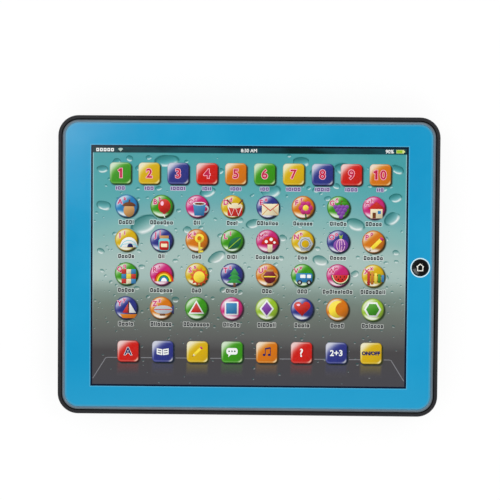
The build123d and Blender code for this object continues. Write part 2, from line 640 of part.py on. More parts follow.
def bottom_circuit_film():
    """The lower circuit sheet, with the flat tail that goes down through the frame to the board."""
    sheet = switch_sheet(SWITCH_Z, SPACER_Z)
    high = SWITCH_Z + FILM_THICKNESS / 2
    low = BOARD_Z + FILM_THICKNESS / 2
    start = SWITCH_LENGTH / 2
    path = FilletPolyline(
        (start, TAIL_Y, high),
        (TAIL_X, TAIL_Y, high),
        (TAIL_X, TAIL_Y, low),
        (TAIL_END_X, TAIL_Y, low),
        radius=TAIL_BEND_RADIUS,
    )
    section = Plane(origin=(start, TAIL_Y, high), x_dir=(0, 1, 0), z_dir=(1, 0, 0))
    return sheet + sweep(section * Rectangle(TAIL_WIDTH, FILM_THICKNESS), path=path)


# ---------------------------------------------------------------- home button


def home_button():
    """A round cap with a dished top and a flange that stops it under the frame."""
    top = FACE_Z + HOME_PROUD
    cap = rod(HOME_RADIUS, FLANGE_Z, top, HOME_X)
    cap = fillet(cap.edges().group_by(Axis.Z)[-1], HOME_EDGE_ROUND)
    cap += rod(HOME_RADIUS + HOME_FLANGE, FLANGE_Z, FLANGE_Z + HOME_FLANGE_THICKNESS, HOME_X)
    reach = HOME_RADIUS - 2 * HOME_EDGE_ROUND
    sphere_radius = (reach**2 + HOME_DISH**2) / (2 * HOME_DISH)
    return cap - Pos(HOME_X, 0, top - HOME_DISH + sphere_radius) * Sphere(sphere_radius)


def home_dome():
    """The rubber dome under the cap, which brings the cap back up."""
    top = FLANGE_Z - DOME_GAP
    return turned(
        [
            (DOME_TOP_RADIUS, top),
            (DOME_BASE_RADIUS - DOME_WEB, BOARD_Z + DOME_BASE_HEIGHT),
            (DOME_BASE_RADIUS, BOARD_Z + DOME_BASE_HEIGHT),
            (DOME_BASE_RADIUS, BOARD_Z),
            (DOME_BASE_RADIUS - 2 * DOME_WEB, BOARD_Z),
            (DOME_TOP_RADIUS - DOME_WEB, top - DOME_WEB),
            (0, top - DOME_WEB),
            (0, top),
        ],
        HOME_X,
    )


# ---------------------------------------------------------------- batteries and contacts


def battery(y, negative_side):
    """One AA cell along X, with its negative end on the given side."""
    half = CELL_RUN / 2 - CONTACT_THICKNESS
    rim = BATTERY_RADIUS - BATTERY_RIM_STEP
    body_length = BATTERY_LENGTH - BATTERY_NUB_LENGTH
    cell = turned(
        [
            (0, 0),
            (rim, 0),
            (rim, BATTERY_RIM_LENGTH),
            (BATTERY_RADIUS, BATTERY_RIM_LENGTH),
            (BATTERY_RADIUS, body_length - BATTERY_RIM_LENGTH),
            (rim, body_length - BATTERY_RIM_LENGTH),
            (rim, body_length),
            (BATTERY_NUB_RADIUS, body_length),
            (BATTERY_NUB_RADIUS, BATTERY_LENGTH),
            (0, BATTERY_LENGTH),
        ]
    )
    start = BOX_X + negative_side * (half - SPRING_LENGTH)
    return Pos(start, y, BATTERY_Z) * Rot(0, -90 * negative_side, 0) * cell


def contact_plate(side, y0, y1):
    """A nickelled plate against the box's end wall, behind the battery ends between y0 and y1."""
    width = abs(y1 - y0) + CONTACT_WIDTH
    x = BOX_X + side * (CELL_RUN - CONTACT_THICKNESS) / 2
    low, high = BATTERY_Z - CONTACT_HALF_HEIGHT, BATTERY_Z + CONTACT_HALF_HEIGHT
    return centred_block(x, (y0 + y1) / 2, CONTACT_THICKNESS, width, low, high)


def end_contact(side, y):
    """A plate with the solder tail that goes out through the box's end wall."""
    inner = BOX_X + side * (CELL_RUN / 2 - CONTACT_THICKNESS)
    outer = BOX_X + side * CONTACT_TAIL_X
    half = CONTACT_THICKNESS / 2
    tail = block(
        min(inner, outer),
        max(inner, outer),
        y - CONTACT_TAIL_WIDTH / 2,
        y + CONTACT_TAIL_WIDTH / 2,
        CONTACT_TAIL_Z - half,
        CONTACT_TAIL_Z + half,
    )
    return contact_plate(side, y, y) + tail


def battery_spring(y, side):
    """The tapered coil between a plate and a battery's negative end, in short straight runs."""
    rise = SPRING_LENGTH - 2 * (SPRING_WIRE_RADIUS + SPRING_END_GAP)
    steps = SPRING_TURNS * SPRING_STEPS
    points = []
    for i in range(steps + 1):
        angle = 2 * pi * i / SPRING_STEPS
        radius = SPRING_BASE_RADIUS + (SPRING_TIP_RADIUS - SPRING_BASE_RADIUS) * i / steps
        points.append((radius * cos(angle), radius * sin(angle), rise * i / steps))
    path = Polyline(*points)
    wire = Plane(origin=path @ 0, z_dir=path % 0) * RegularPolygon(SPRING_WIRE_RADIUS, SPRING_WIRE_SIDES)
    coil = sweep(wire, path=path, transition=Transition.RIGHT)
    start = BOX_X + side * (CELL_RUN / 2 - CONTACT_THICKNESS - SPRING_WIRE_RADIUS - SPRING_END_GAP)
    return Pos(start, y, BATTERY_Z) * Rot(0, -90 * side, 0) * coil


def battery_door():
    """The door with its two tabs, its screw's counterbore and its grip lines."""
    door = slab(DOOR_LENGTH, DOOR_WIDTH, DOOR_CORNER, DOOR_RECESS, DOOR_INNER_Z, BOX_X, DOOR_Y)
    edge = DOOR_PIVOT_Y
    for x in tab_places():
        low, high = x - TAB_WIDTH / 2, x + TAB_WIDTH / 2
        door += block(low, high, edge, edge + TAB_ROOT, DOOR_RECESS + DOOR_THICKNESS / 2, TAB_TOP_Z)
        door += block(low, high, edge - TAB_TIP, edge + TAB_ROOT, TAB_UNDER_Z, TAB_TOP_Z)
    seat = DOOR_RECESS + DOOR_SCREW_SINK + DOOR_SCREW_HEAD_HEIGHT
    head_hole = DOOR_SCREW_HEAD_RADIUS + DOOR_SCREW_CLEARANCE
    door -= rod(head_hole, 0, seat, BOX_X, DOOR_SCREW_Y)
    door -= rod(DOOR_SCREW_CORE_RADIUS + DOOR_SCREW_CLEARANCE, 0, DOOR_INNER_Z + 1, BOX_X, DOOR_SCREW_Y)
    middle = DOOR_SCREW_Y - GRIP_FROM_SCREW
    for i in range(GRIP_COUNT):
        y = middle + (i - (GRIP_COUNT - 1) / 2) * GRIP_PITCH
        groove = Cylinder(GRIP_WIDTH / 2, GRIP_LENGTH, rotation=(0, 90, 0))
        door -= Pos(BOX_X, y, DOOR_RECESS - GRIP_WIDTH / 2 + GRIP_DEPTH) * groove
    return door


def door_screw():
    seat = DOOR_RECESS + DOOR_SCREW_SINK + DOOR_SCREW_HEAD_HEIGHT
    return screw_down(
        DOOR_SCREW_HEAD_RADIUS,
        DOOR_SCREW_HEAD_HEIGHT,
        DOOR_SCREW_CORE_RADIUS,
        seat,
        DOOR_INNER_Z + DOOR_SCREW_REACH,
        BOX_X,
        DOOR_SCREW_Y,
    )


def casing_screws():
    tip = WELL_DEPTH + CASING_SCREW_LENGTH
    return [
        screw_down(
            CASING_SCREW_HEAD_RADIUS, CASING_SCREW_HEAD_HEIGHT, CASING_SCREW_RADIUS, WELL_DEPTH, tip, x, y
        )
        for x, y in CASING_SCREWS
    ]


# ---------------------------------------------------------------- speaker


def speaker_basket():
    """The pressed-steel basket: rim, cone-shaped wall with windows, and flat back."""
    inner = SPEAKER_RADIUS - SPEAKER_FLANGE
    top = SPEAKER_BACK_Z
    basket = turned(
        [
            (SPEAKER_RADIUS, WALL),
            (SPEAKER_RADIUS, SPEAKER_POST_Z),
            (inner, SPEAKER_POST_Z),
            (SPEAKER_BACK_RADIUS, top),
            (0, top),
            (0, top - SPEAKER_SHEET),
            (SPEAKER_BACK_RADIUS - SPEAKER_SHEET, top - SPEAKER_SHEET),
            (inner - 2 * SPEAKER_SHEET, SPEAKER_POST_Z),
            (inner - 2 * SPEAKER_SHEET, WALL),
        ],
        SPEAKER_X,
        SPEAKER_Y,
    )
    low = SPEAKER_POST_Z + SPEAKER_SHEET
    high = top - 2 * SPEAKER_SHEET
    for i in range(SPEAKER_WINDOWS):
        window = block(
            SPEAKER_BACK_RADIUS - 2 * SPEAKER_SHEET,
            SPEAKER_RADIUS,
            -SPEAKER_WINDOW_WIDTH / 2,
            SPEAKER_WINDOW_WIDTH / 2,
            low,
            high,
        )
        angle = 360 * (i + 0.5) / SPEAKER_WINDOWS
        basket -= Pos(SPEAKER_X, SPEAKER_Y, 0) * Rot(0, 0, angle) * window
    return basket


def speaker_magnet():
    return rod(MAGNET_RADIUS, SPEAKER_BACK_Z, SPEAKER_BACK_Z + MAGNET_HEIGHT, SPEAKER_X, SPEAKER_Y)


def speaker_cone():
    """The diaphragm: a flat edge glued in the basket, a cone, and a dome with the voice coil."""
    edge = SPEAKER_RADIUS - SPEAKER_FLANGE - 2 * SPEAKER_SHEET - DIAPHRAGM_GAP
    low = WALL + DIAPHRAGM_DOME_RISE / 2
    high = low + DIAPHRAGM_DOME_RISE
    t = DIAPHRAGM_THICKNESS
    coil_top = SPEAKER_BACK_Z - SPEAKER_SHEET - COIL_GAP
    dome = DIAPHRAGM_DOME_RADIUS
    return turned(
        [
            (0, low),
            (dome / 2, low + t),
            (dome - COIL_THICKNESS, high - t),
            (dome, high - t),
            (edge - 2.0, low - t),
            (edge, low - t),
            (edge, low),
            (edge - 2.0 + t, low),
            (dome, high),
            (dome, coil_top),
            (dome - COIL_THICKNESS, coil_top),
            (dome - COIL_THICKNESS, high),
            (dome / 2, low + 2 * t),
            (0, low + t),
        ],
        SPEAKER_X,
        SPEAKER_Y,
    )


def speaker_terminals():
    """The small strip on the basket's rim that the two leads are soldered to."""
    strip = centred_block(STRIP_X, SPEAKER_Y, STRIP_WIDTH, STRIP_LENGTH, SPEAKER_POST_Z, STRIP_TOP_Z)
    return strip


def speaker_screws():
    """Washer-head screws whose heads lap over the speaker's rim."""
    tip = SPEAKER_POST_Z - SPEAKER_SCREW_LENGTH
    return [
        screw_down(
            SPEAKER_WASHER_RADIUS, SPEAKER_WASHER_HEIGHT, SPEAKER_SCREW_RADIUS, SPEAKER_POST_Z, tip, x, y
        )
        for x, y in speaker_screw_places()
    ]


# ---------------------------------------------------------------- circuit board


def board_screw_places():
    x = BOARD_LENGTH / 2 - BOARD_SCREW_INSET
    y = BOARD_WIDTH / 2 - BOARD_SCREW_INSET
    return [(BOARD_X + sx * x, BOARD_Y + sy * y) for sx in (-1, 1) for sy in (-1, 1)]


def clamp_screw_places():
    return [(CLAMP_X, TAIL_Y + side * CLAMP_SCREW_SPACING / 2) for side in (-1, 1)]


def circuit_board():
    board = slab(BOARD_LENGTH, BOARD_WIDTH, BOARD_CORNER, BOARD_UNDER_Z, BOARD_Z, BOARD_X, BOARD_Y)
    for x, y in board_screw_places():
        board -= rod(BOARD_SCREW_RADIUS + BOARD_HOLE_CLEARANCE, BOARD_UNDER_Z - 1, BOARD_Z + 1, x, y)
    for x, y in clamp_screw_places():
        board -= rod(CLAMP_SCREW_RADIUS + THREAD_CLEARANCE, BOARD_UNDER_Z - 1, BOARD_Z + 1, x, y)
    return board


def board_screws():
    tip = BOARD_Z + BOARD_SCREW_GRIP
    return [
        screw_down(
            BOARD_SCREW_HEAD_RADIUS, BOARD_SCREW_HEAD_HEIGHT, BOARD_SCREW_RADIUS, BOARD_UNDER_Z, tip, x, y
        )
        for x, y in board_screw_places()
    ]


def tail_clamp():
    """The bar that presses the sheets' tail onto the board."""
    low = BOARD_Z + FILM_THICKNESS
    bar = centred_block(CLAMP_X, TAIL_Y, CLAMP_WIDTH, CLAMP_LENGTH, low, low + CLAMP_HEIGHT)
    for x, y in clamp_screw_places():
        bar -= rod(CLAMP_SCREW_RADIUS + BOARD_HOLE_CLEARANCE, low - 1, low + CLAMP_HEIGHT + 1, x, y)
    return bar


def clamp_screws():
    seat = BOARD_Z + FILM_THICKNESS + CLAMP_HEIGHT
    tip = BOARD_UNDER_Z - CLAMP_SCREW_PAST_BOARD
    return [
        screw_down(CLAMP_SCREW_HEAD_RADIUS, CLAMP_SCREW_HEAD_HEIGHT, CLAMP_SCREW_RADIUS, seat, tip, x, y)
        for x, y in clamp_screw_places()
    ]


def chip_blob():
    """The drop of black resin over the chip, on the underside of the board."""
    sphere_radius = (CHIP_RADIUS**2 + CHIP_HEIGHT**2) / (2 * CHIP_HEIGHT)
    x, y = BOARD_X + CHIP_PLACE[0], BOARD_Y + CHIP_PLACE[1]
    ball = Pos(x, y, BOARD_UNDER_Z - CHIP_HEIGHT + sphere_radius) * Sphere(sphere_radius)
    return ball & rod(CHIP_RADIUS, BOARD_UNDER_Z - CHIP_HEIGHT - 1, BOARD_UNDER_Z, x, y)


def capacitor(place):
    x, y = BOARD_X + place[0], BOARD_Y + place[1]
    can = rod(CAPACITOR_RADIUS, BOARD_UNDER_Z - CAPACITOR_HEIGHT, BOARD_UNDER_Z, x, y)
    return fillet(can.edges().group_by(Axis.Z)[0], CAPACITOR_RADIUS / 8)


def transistor():
    x, y = BOARD_X + TRANSISTOR_PLACE[0], BOARD_Y + TRANSISTOR_PLACE[1]
    case = rod(TRANSISTOR_RADIUS, BOARD_UNDER_Z - TRANSISTOR_HEIGHT, BOARD_UNDER_Z, x, y)
    flat = x + TRANSISTOR_RADIUS / 2
    return case - block(flat, x + 2 * TRANSISTOR_RADIUS, y - 5, y + 5, 0, BOARD_UNDER_Z + 1)


def resistor(index):
    """A resistor lying along X under the board, with its two legs."""
    x = BOARD_X + RESISTOR_PLACE[0]
    y = BOARD_Y + RESISTOR_PLACE[1] - index * RESISTOR_PITCH
    z = BOARD_UNDER_Z - RESISTOR_STANDOFF - RESISTOR_RADIUS
    body = Pos(x, y, z) * Cylinder(RESISTOR_RADIUS, RESISTOR_LENGTH, rotation=(0, 90, 0))
    half = RESISTOR_LEAD_SPAN / 2
    leg = Polyline(
        (x - half, y, BOARD_UNDER_Z), (x - half, y, z), (x + half, y, z), (x + half, y, BOARD_UNDER_Z)
    )
    section = Plane(origin=leg @ 0, z_dir=leg % 0) * Circle(RESISTOR_LEAD_RADIUS)
    return body + sweep(section, path=leg, transition=Transition.RIGHT)


# ---------------------------------------------------------------- leads


def lead_routes():
    """The points of each lead, from its solder joint to the board's underside."""
    rib_z = WALL + FLOOR_RIB_HEIGHT - LEAD_RADIUS
    near, far = FLOOR_RIB_X
    tail_x = BOX_X + CONTACT_TAIL_X
    below_board = BOARD_UNDER_Z - 5.0
    over_ring = WALL + SPEAKER_RING_HEIGHT + 2 * LEAD_RADIUS
    upper_y = SPEAKER_Y + STRIP_LEAD_SPACING / 2
    lower_y = SPEAKER_Y - STRIP_LEAD_SPACING / 2
    plus_y, minus_y, joint_1_y, joint_2_y = (BOARD_Y + offset for offset in LEAD_JOINTS.values())
    return {
        "battery_lead_plus": [
            (tail_x, LAST_CELL_Y, CONTACT_TAIL_Z),
            (tail_x + 6.0, LAST_CELL_Y, CONTACT_TAIL_Z),
            (tail_x + 11.0, LAST_CELL_Y - 0.5, rib_z + 4.0),
            (near - 4.0, LAST_CELL_Y - 1.5, rib_z),
            (far - 12.0, plus_y - 1.5, rib_z + 0.2),
            (far + 3.0, plus_y - 1.0, rib_z),
            (LEAD_END_X, plus_y, below_board),
            (LEAD_END_X, plus_y, BOARD_UNDER_Z),
        ],
        "battery_lead_minus": [
            (-tail_x, FIRST_CELL_Y, CONTACT_TAIL_Z),
            (-tail_x - 5.0, FIRST_CELL_Y, CONTACT_TAIL_Z),
            (-tail_x - 6.5, FIRST_CELL_Y - 7.0, CONTACT_TAIL_Z - 6.0),
            (-tail_x - 2.0, FIRST_CELL_Y - 15.0, FLOOR_LEAD_Z),
            (-tail_x + 14.0, FIRST_CELL_Y - 18.0, FLOOR_LEAD_Z),
            (tail_x - 22.0, FIRST_CELL_Y - 18.5, FLOOR_LEAD_Z),
            (near - 10.0, FIRST_CELL_Y - 13.0, FLOOR_LEAD_Z + 0.3),
            (near + 5.0, FIRST_CELL_Y - 4.0, rib_z + 0.3),
            (far - 6.0, minus_y - 7.0, rib_z),
            (far + 5.0, minus_y - 1.5, rib_z + 0.5),
            (LEAD_END_X + 3.0, minus_y, below_board),
            (LEAD_END_X + 3.0, minus_y, BOARD_UNDER_Z),
        ],
        "speaker_lead_1": [
            (STRIP_X, lower_y, STRIP_TOP_Z),
            (STRIP_X, lower_y, over_ring + 2.0),
            (STRIP_X + 7.0, lower_y - 1.0, over_ring + 0.5),
            (STRIP_X + 16.0, lower_y - 5.0, FLOOR_LEAD_Z + 0.4),
            (near - 6.0, lower_y - 12.0, rib_z - 0.6),
            (near + 10.0, joint_1_y + 16.5, rib_z),
            (far + 3.0, joint_1_y + 3.5, rib_z + 0.3),
            (LEAD_END_X, joint_1_y, below_board),
            (LEAD_END_X, joint_1_y, BOARD_UNDER_Z),
        ],
        "speaker_lead_2": [
            (STRIP_X, upper_y, STRIP_TOP_Z),
            (STRIP_X, upper_y, over_ring + 2.0),
            (STRIP_X + 7.0, upper_y - 0.5, over_ring + 0.5),
            (STRIP_X + 17.0, upper_y - 4.0, FLOOR_LEAD_Z + 0.4),
            (near - 5.0, upper_y - 11.0, rib_z - 0.6),
            (near + 9.0, joint_2_y + 19.5, rib_z),
            (far + 3.0, joint_2_y + 4.5, rib_z + 0.3),
            (LEAD_END_X, joint_2_y, below_board),
            (LEAD_END_X, joint_2_y, BOARD_UNDER_Z),
        ],
    }


def rib_crossings(rib_x):
    """(y, z, sideways slope) of every lead's run where it crosses the floor rib at rib_x."""
    crossings = []
    for route in lead_routes().values():
        for (x0, y0, z0), (x1, y1, z1) in zip(route, route[1:]):
            if x0 < rib_x < x1:
                share = (rib_x - x0) / (x1 - x0)
                crossings.append((y0 + share * (y1 - y0), z0 + share * (z1 - z0), (y1 - y0) / (x1 - x0)))
    return crossings


def lead_notches():
    """A notch in a floor rib for every lead that crosses it."""
    top = WALL + FLOOR_RIB_HEIGHT + 1
    clear_width = 2 * (LEAD_RADIUS + LEAD_NOTCH_CLEARANCE)
    notches = []
    for x in FLOOR_RIB_X:
        for y, z, slope in rib_crossings(x):
            width = clear_width * hypot(1, slope) + FLOOR_RIB_THICKNESS * abs(slope)
            low = z - LEAD_RADIUS - LEAD_REST
            notches.append(centred_block(x, y, 2 * FLOOR_RIB_THICKNESS, width, low, top))
    return notches


def bend_radii(route):
    """The largest arcs that the runs on both sides of each corner leave room for."""
    points = [Vector(*p) for p in route]
    radii = []
    for before, corner, after in zip(points, points[1:], points[2:]):
        first, second = corner - before, after - corner
        half_turn = radians(first.get_angle(second)) / 2
        radii.append(LEAD_BEND_SHARE * min(first.length, second.length) / tan(half_turn))
    return radii


def lead(route):
    path = FilletPolyline(*route, radius=bend_radii(route))
    return sweep(Plane(origin=path @ 0, z_dir=path % 0) * Circle(LEAD_RADIUS), path=path)


# ---------------------------------------------------------------- all sub-parts


def sub_parts():
    """Every sub-part by its node's name."""
    parts = {
        "back_shell": back_shell(),
        "front_frame": front_frame(),
        "face_overlay": face_overlay(),
        "top_circuit_film": switch_sheet(TOP_FILM_Z, OVERLAY_Z),
        "spacer_film": spacer_film(),
        "bottom_circuit_film": bottom_circuit_film(),
        "home_button": home_button(),
        "home_dome": home_dome(),
        "battery_door": battery_door(),
        "door_screw": door_screw(),
        "casing_screws": casing_screws(),
        "speaker_basket": speaker_basket(),
        "speaker_magnet": speaker_magnet(),
        "speaker_cone": speaker_cone(),
        "speaker_terminals": speaker_terminals(),
        "speaker_screws": speaker_screws(),
        "circuit_board": circuit_board(),
        "board_screws": board_screws(),
        "tail_clamp": tail_clamp(),
        "clamp_screws": clamp_screws(),
        "chip_blob": chip_blob(),
        "transistor": transistor(),
    }
    cells = battery_cells()
    for number, (y, negative_side) in enumerate(cells, 1):
        parts[f"battery_{number}"] = battery(y, negative_side)
        parts[f"battery_spring_{number}"] = battery_spring(y, negative_side)
    parts["battery_contact_minus"] = end_contact(cells[0][1], cells[0][0])
    parts["battery_contact_plus"] = end_contact(-cells[-1][1], cells[-1][0])
    for number, ((y0, _), (y1, side)) in enumerate(zip(cells, cells[1:]), 1):
        parts[f"battery_link_{number}"] = contact_plate(side, y0, y1)
    for number, place in enumerate(CAPACITOR_PLACES, 1):
        parts[f"capacitor_{number}"] = capacitor(place)
    for index in range(RESISTOR_COUNT):
        parts[f"resistor_{index + 1}"] = resistor(index)
    for name, route in lead_routes().items():
        parts[name] = lead(route)
        print(name, "bend radii", [round(r, 1) for r in bend_radii(route)])
    return parts


os.makedirs("parts", exist_ok=True)
for name, shape in sub_parts().items():
    solids = Compound(shape) if isinstance(shape, list) else shape
    export_step(solids, f"parts/{name}.step")
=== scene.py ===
import random
from math import ceil, cos, hypot, pi, radians, sin

import bpy
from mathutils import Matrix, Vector
from mathutils.geometry import delaunay_2d_cdt, tessellate_polygon


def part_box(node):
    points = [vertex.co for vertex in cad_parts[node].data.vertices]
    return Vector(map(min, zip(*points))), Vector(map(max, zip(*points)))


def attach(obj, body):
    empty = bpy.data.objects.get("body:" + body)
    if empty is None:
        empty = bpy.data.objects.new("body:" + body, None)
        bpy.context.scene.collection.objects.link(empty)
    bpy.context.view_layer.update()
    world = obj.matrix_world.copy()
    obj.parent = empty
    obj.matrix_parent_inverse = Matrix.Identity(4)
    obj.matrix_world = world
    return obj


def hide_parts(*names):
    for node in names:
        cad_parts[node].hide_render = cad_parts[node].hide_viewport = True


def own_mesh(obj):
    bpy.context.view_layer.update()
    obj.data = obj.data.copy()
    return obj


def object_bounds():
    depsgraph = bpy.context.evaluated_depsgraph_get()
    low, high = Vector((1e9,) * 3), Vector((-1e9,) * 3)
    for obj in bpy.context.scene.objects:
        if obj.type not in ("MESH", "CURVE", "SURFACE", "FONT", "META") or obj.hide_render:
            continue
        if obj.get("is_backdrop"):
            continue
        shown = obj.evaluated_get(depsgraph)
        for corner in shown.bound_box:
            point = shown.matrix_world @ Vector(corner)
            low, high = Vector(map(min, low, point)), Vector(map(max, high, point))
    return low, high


# A kids' toy learning tablet on a pale floor. The casing, the face and the inner pieces are the
# CAD's own; this script gives them their finishes and prints the keys and pictures on the face.
# Printed shapes are drawn in millimetres and become thin layers just above the face.

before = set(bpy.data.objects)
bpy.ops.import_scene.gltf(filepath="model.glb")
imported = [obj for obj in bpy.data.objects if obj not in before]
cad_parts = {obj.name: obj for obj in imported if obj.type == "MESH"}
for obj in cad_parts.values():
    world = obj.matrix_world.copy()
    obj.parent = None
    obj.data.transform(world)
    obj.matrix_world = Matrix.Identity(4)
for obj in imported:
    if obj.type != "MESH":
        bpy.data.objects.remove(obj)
CAD_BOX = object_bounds()

MM = 0.001
FACE_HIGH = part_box("face_overlay")[1]
FACE_Z = FACE_HIGH.z / MM
FACE_X = FACE_HIGH.x / MM
FACE_Y = FACE_HIGH.y / MM
FACE_CORNER = 8.4
SCREEN_X = FACE_X - 15.9  # half the picture's length
SCREEN_Y = FACE_Y - 13.8
SCREEN_RIGHT, SCREEN_DOWN = 0.5, 0.45  # the print lies this far off the sheet's middle
SCREEN_TOP = SCREEN_Y - SCREEN_DOWN
STATUS_Y = SCREEN_TOP - 4.7  # the lower edge of the bar along the picture's top
DOCK_LINE = -58.9
SIDE_LEAD = 9.5  # at the picture's sides its upper colours sit this much lower,
SIDE_START, SIDE_END = 58, 96  # more and more between these distances from the middle
SIDE_FOOT = -10  # and from this height up to the middle

FIRST_LAYER = 0.02  # above the face
LAYER = 0.015
SMALLEST = 1e-6  # what counts as no length, or no area, when shapes are merged

WALLPAPER = [  # height on the face, colour
    (-76, (71, 70, 76)),
    (-54, (73, 71, 72)),
    (-50, (86, 86, 86)),
    (-45, (95, 97, 95)),
    (-30, (109, 118, 110)),
    (-24, (114, 128, 119)),
    (-17, (127, 146, 138)),
    (-12, (149, 170, 162)),
    (-8, (162, 186, 181)),
    (2, (168, 192, 186)),
    (14, (161, 189, 184)),
    (24, (137, 181, 178)),
    (31, (127, 179, 177)),
    (37, (114, 172, 175)),
    (46, (94, 168, 172)),
    (62, (76, 162, 166)),
    (76, (68, 156, 162)),
]

GREEN, YELLOW, INDIGO = (54, 146, 16), (212, 172, 8), (42, 50, 128)
RED, ORANGE, PINK, SKY = (202, 26, 16), (210, 114, 10), (198, 34, 112), (34, 122, 182)
WHITE, CREAM, BLACK, NAVY = (244, 246, 244), (246, 232, 190), (22, 20, 24), (22, 28, 92)
BROWN, TAN, GREY, SILVER = (110, 58, 24), (206, 150, 84), (92, 98, 104), (188, 196, 202)
DARK_GREEN, LIME, MAROON, VIOLET = (14, 82, 34), (146, 188, 40), (112, 14, 30), (122, 56, 160)
CRIMSON, ROSE, LEMON, AQUA = (196, 22, 92), (255, 200, 224), (252, 226, 60), (94, 200, 214)


def linear(colour):
    """Screen colour, 0 to 255, as the linear values that a shader reads."""
    parts = [c / 255 for c in colour]
    return [p / 12.92 if p <= 0.04045 else ((p + 0.055) / 1.055) ** 2.4 for p in parts] + [1.0]


def mixed(first, second, share):
    share = min(max(share, 0.0), 1.0)
    return tuple(a + (b - a) * share for a, b in zip(first, second))


def smooth(value, low, high):
    t = min(max((value - low) / (high - low), 0.0), 1.0)
    return t * t * (3 - 2 * t)


def wallpaper(x, y):
    """The picture's own colour at a place on the face."""
    side = min(max((abs(x) - SIDE_START) / (SIDE_END - SIDE_START), 0), 1)
    y += SIDE_LEAD * side * min(max((y - SIDE_FOOT) / -SIDE_FOOT, 0), 1)
    for (low, below), (high, above) in zip(WALLPAPER, WALLPAPER[1:]):
        if y <= high:
            return mixed(below, above, (y - low) / (high - low))
    return WALLPAPER[-1][1]


# ---- finishes
class Nodes:
    """Shader nodes of one tree, each made and linked in one step."""

    def __init__(self, tree):
        self.tree = tree

    def node(self, kind, inputs=(), **settings):
        made = self.tree.nodes.new("ShaderNode" + kind)
        for name, value in settings.items():
            setattr(made, name, value)
        for socket, value in dict(inputs).items():
            if isinstance(value, bpy.types.NodeSocket):
                self.tree.links.new(value, made.inputs[socket])
            else:
                made.inputs[socket].default_value = value
        return made

    def math(self, operation, *values):
        return self.node("Math", dict(enumerate(values)), operation=operation).outputs[0]

    def spread(self, value, low, high, start=0.3, end=0.7):
        """value from start to end becomes low to high."""
        return self.node("MapRange", {0: value, 1: start, 2: end, 3: low, 4: high}).outputs[0]


class Finish(Nodes):
    """A material whose colour, roughness and relief come from its own nodes."""

    def __init__(self, name, **constants):
        self.material = bpy.data.materials.new(name)
        self.material.use_nodes = True
        super().__init__(self.material.node_tree)
        self.shader = self.tree.nodes["Principled BSDF"]
        for socket, value in constants.items():
            self.shader.inputs[socket.replace("_", " ")].default_value = value
        self.place = self.node("TexCoord").outputs["Object"]
        self.x, self.y, self.z = self.node("SeparateXYZ", {0: self.place}).outputs[:3]

    def noise(self, scale, detail=2.0, stretch=None):
        place = self.place
        if stretch:
            place = self.node("Mapping", {"Vector": place, "Scale": stretch}).outputs[0]
        made = self.node("TexNoise", {"Vector": place, "Scale": scale, "Detail": detail})
        return made.outputs["Fac"]

    def ramp(self, value, stops):
        made = self.node("ValToRGB", {0: value})
        points = made.color_ramp.elements
        while len(points) < len(stops):
            points.new(0.5)
        for point, (position, colour) in zip(points, stops):
            point.position = position
            point.color = linear(colour)
        return made.outputs[0]

    def mix(self, share, first, second):
        sockets = {0: share}
        for index, colour in ((6, first), (7, second)):
            sockets[index] = linear(colour) if isinstance(colour, tuple) else colour
        return self.node("Mix", sockets, data_type="RGBA").outputs[2]

    def past_face(self):
        """Distance in metres outside the printed face's outline; negative on the face."""
        corner, math = FACE_CORNER * MM, self.math
        over_x = math("SUBTRACT", math("ABSOLUTE", self.x), FACE_X * MM - corner)
        over_y = math("SUBTRACT", math("ABSOLUTE", self.y), FACE_Y * MM - corner)
        round_x, round_y = math("MAXIMUM", over_x, 0.0), math("MAXIMUM", over_y, 0.0)
        square = math("MULTIPLY", round_y, round_y)
        far = math("SQRT", math("MULTIPLY_ADD", round_x, round_x, square))
        inner = math("MINIMUM", math("MAXIMUM", over_x, over_y), 0.0)
        return math("ADD", math("SUBTRACT", far, corner), inner)

    def set(self, socket, value):
        self.tree.links.new(value, self.shader.inputs[socket])

    def coat(self, colour, rough, height, depth, strength):
        """Colour, roughness, and a relief that is depth metres deep."""
        bump = self.node("Bump", {"Height": height, "Distance": depth, "Strength": strength})
        self.set("Base Color", colour)
        self.set("Roughness", rough)
        self.set("Normal", bump.outputs[0])


def moulded(name, colour, rough, grain=900.0, depth=0.00003, mottle=0.12):
    """Plastic, rubber or paper: a faint mottle, uneven gloss and a fine grain."""
    f = Finish(name)
    cloud = f.noise(60.0, 4.0)
    dark = tuple(c * (1 - mottle) for c in colour)
    pale = tuple(min(c * (1 + mottle), 255) for c in colour)
    gloss = f.spread(f.noise(220.0, 3.0), rough - 0.06, rough + 0.06)
    f.coat(f.ramp(cloud, [(0.3, dark), (0.7, pale)]), gloss, f.noise(grain, 3.0), depth, 0.5)
    return f


def metal(name, colour, rough, stretch=(1, 1, 12), tarnish=0.2):
    """Plated metal: brushed streaks and a slight dulling."""
    f = Finish(name, Metallic=1.0)
    cloud = f.noise(140.0, 4.0)
    dull = tuple(c * (1 - tarnish) for c in colour)
    streak = f.noise(900.0, 2.0, stretch)
    gloss = f.spread(streak, rough - 0.08, rough + 0.1)
    f.coat(f.ramp(cloud, [(0.3, dull), (0.65, colour)]), gloss, streak, 0.00001, 0.4)
    return f


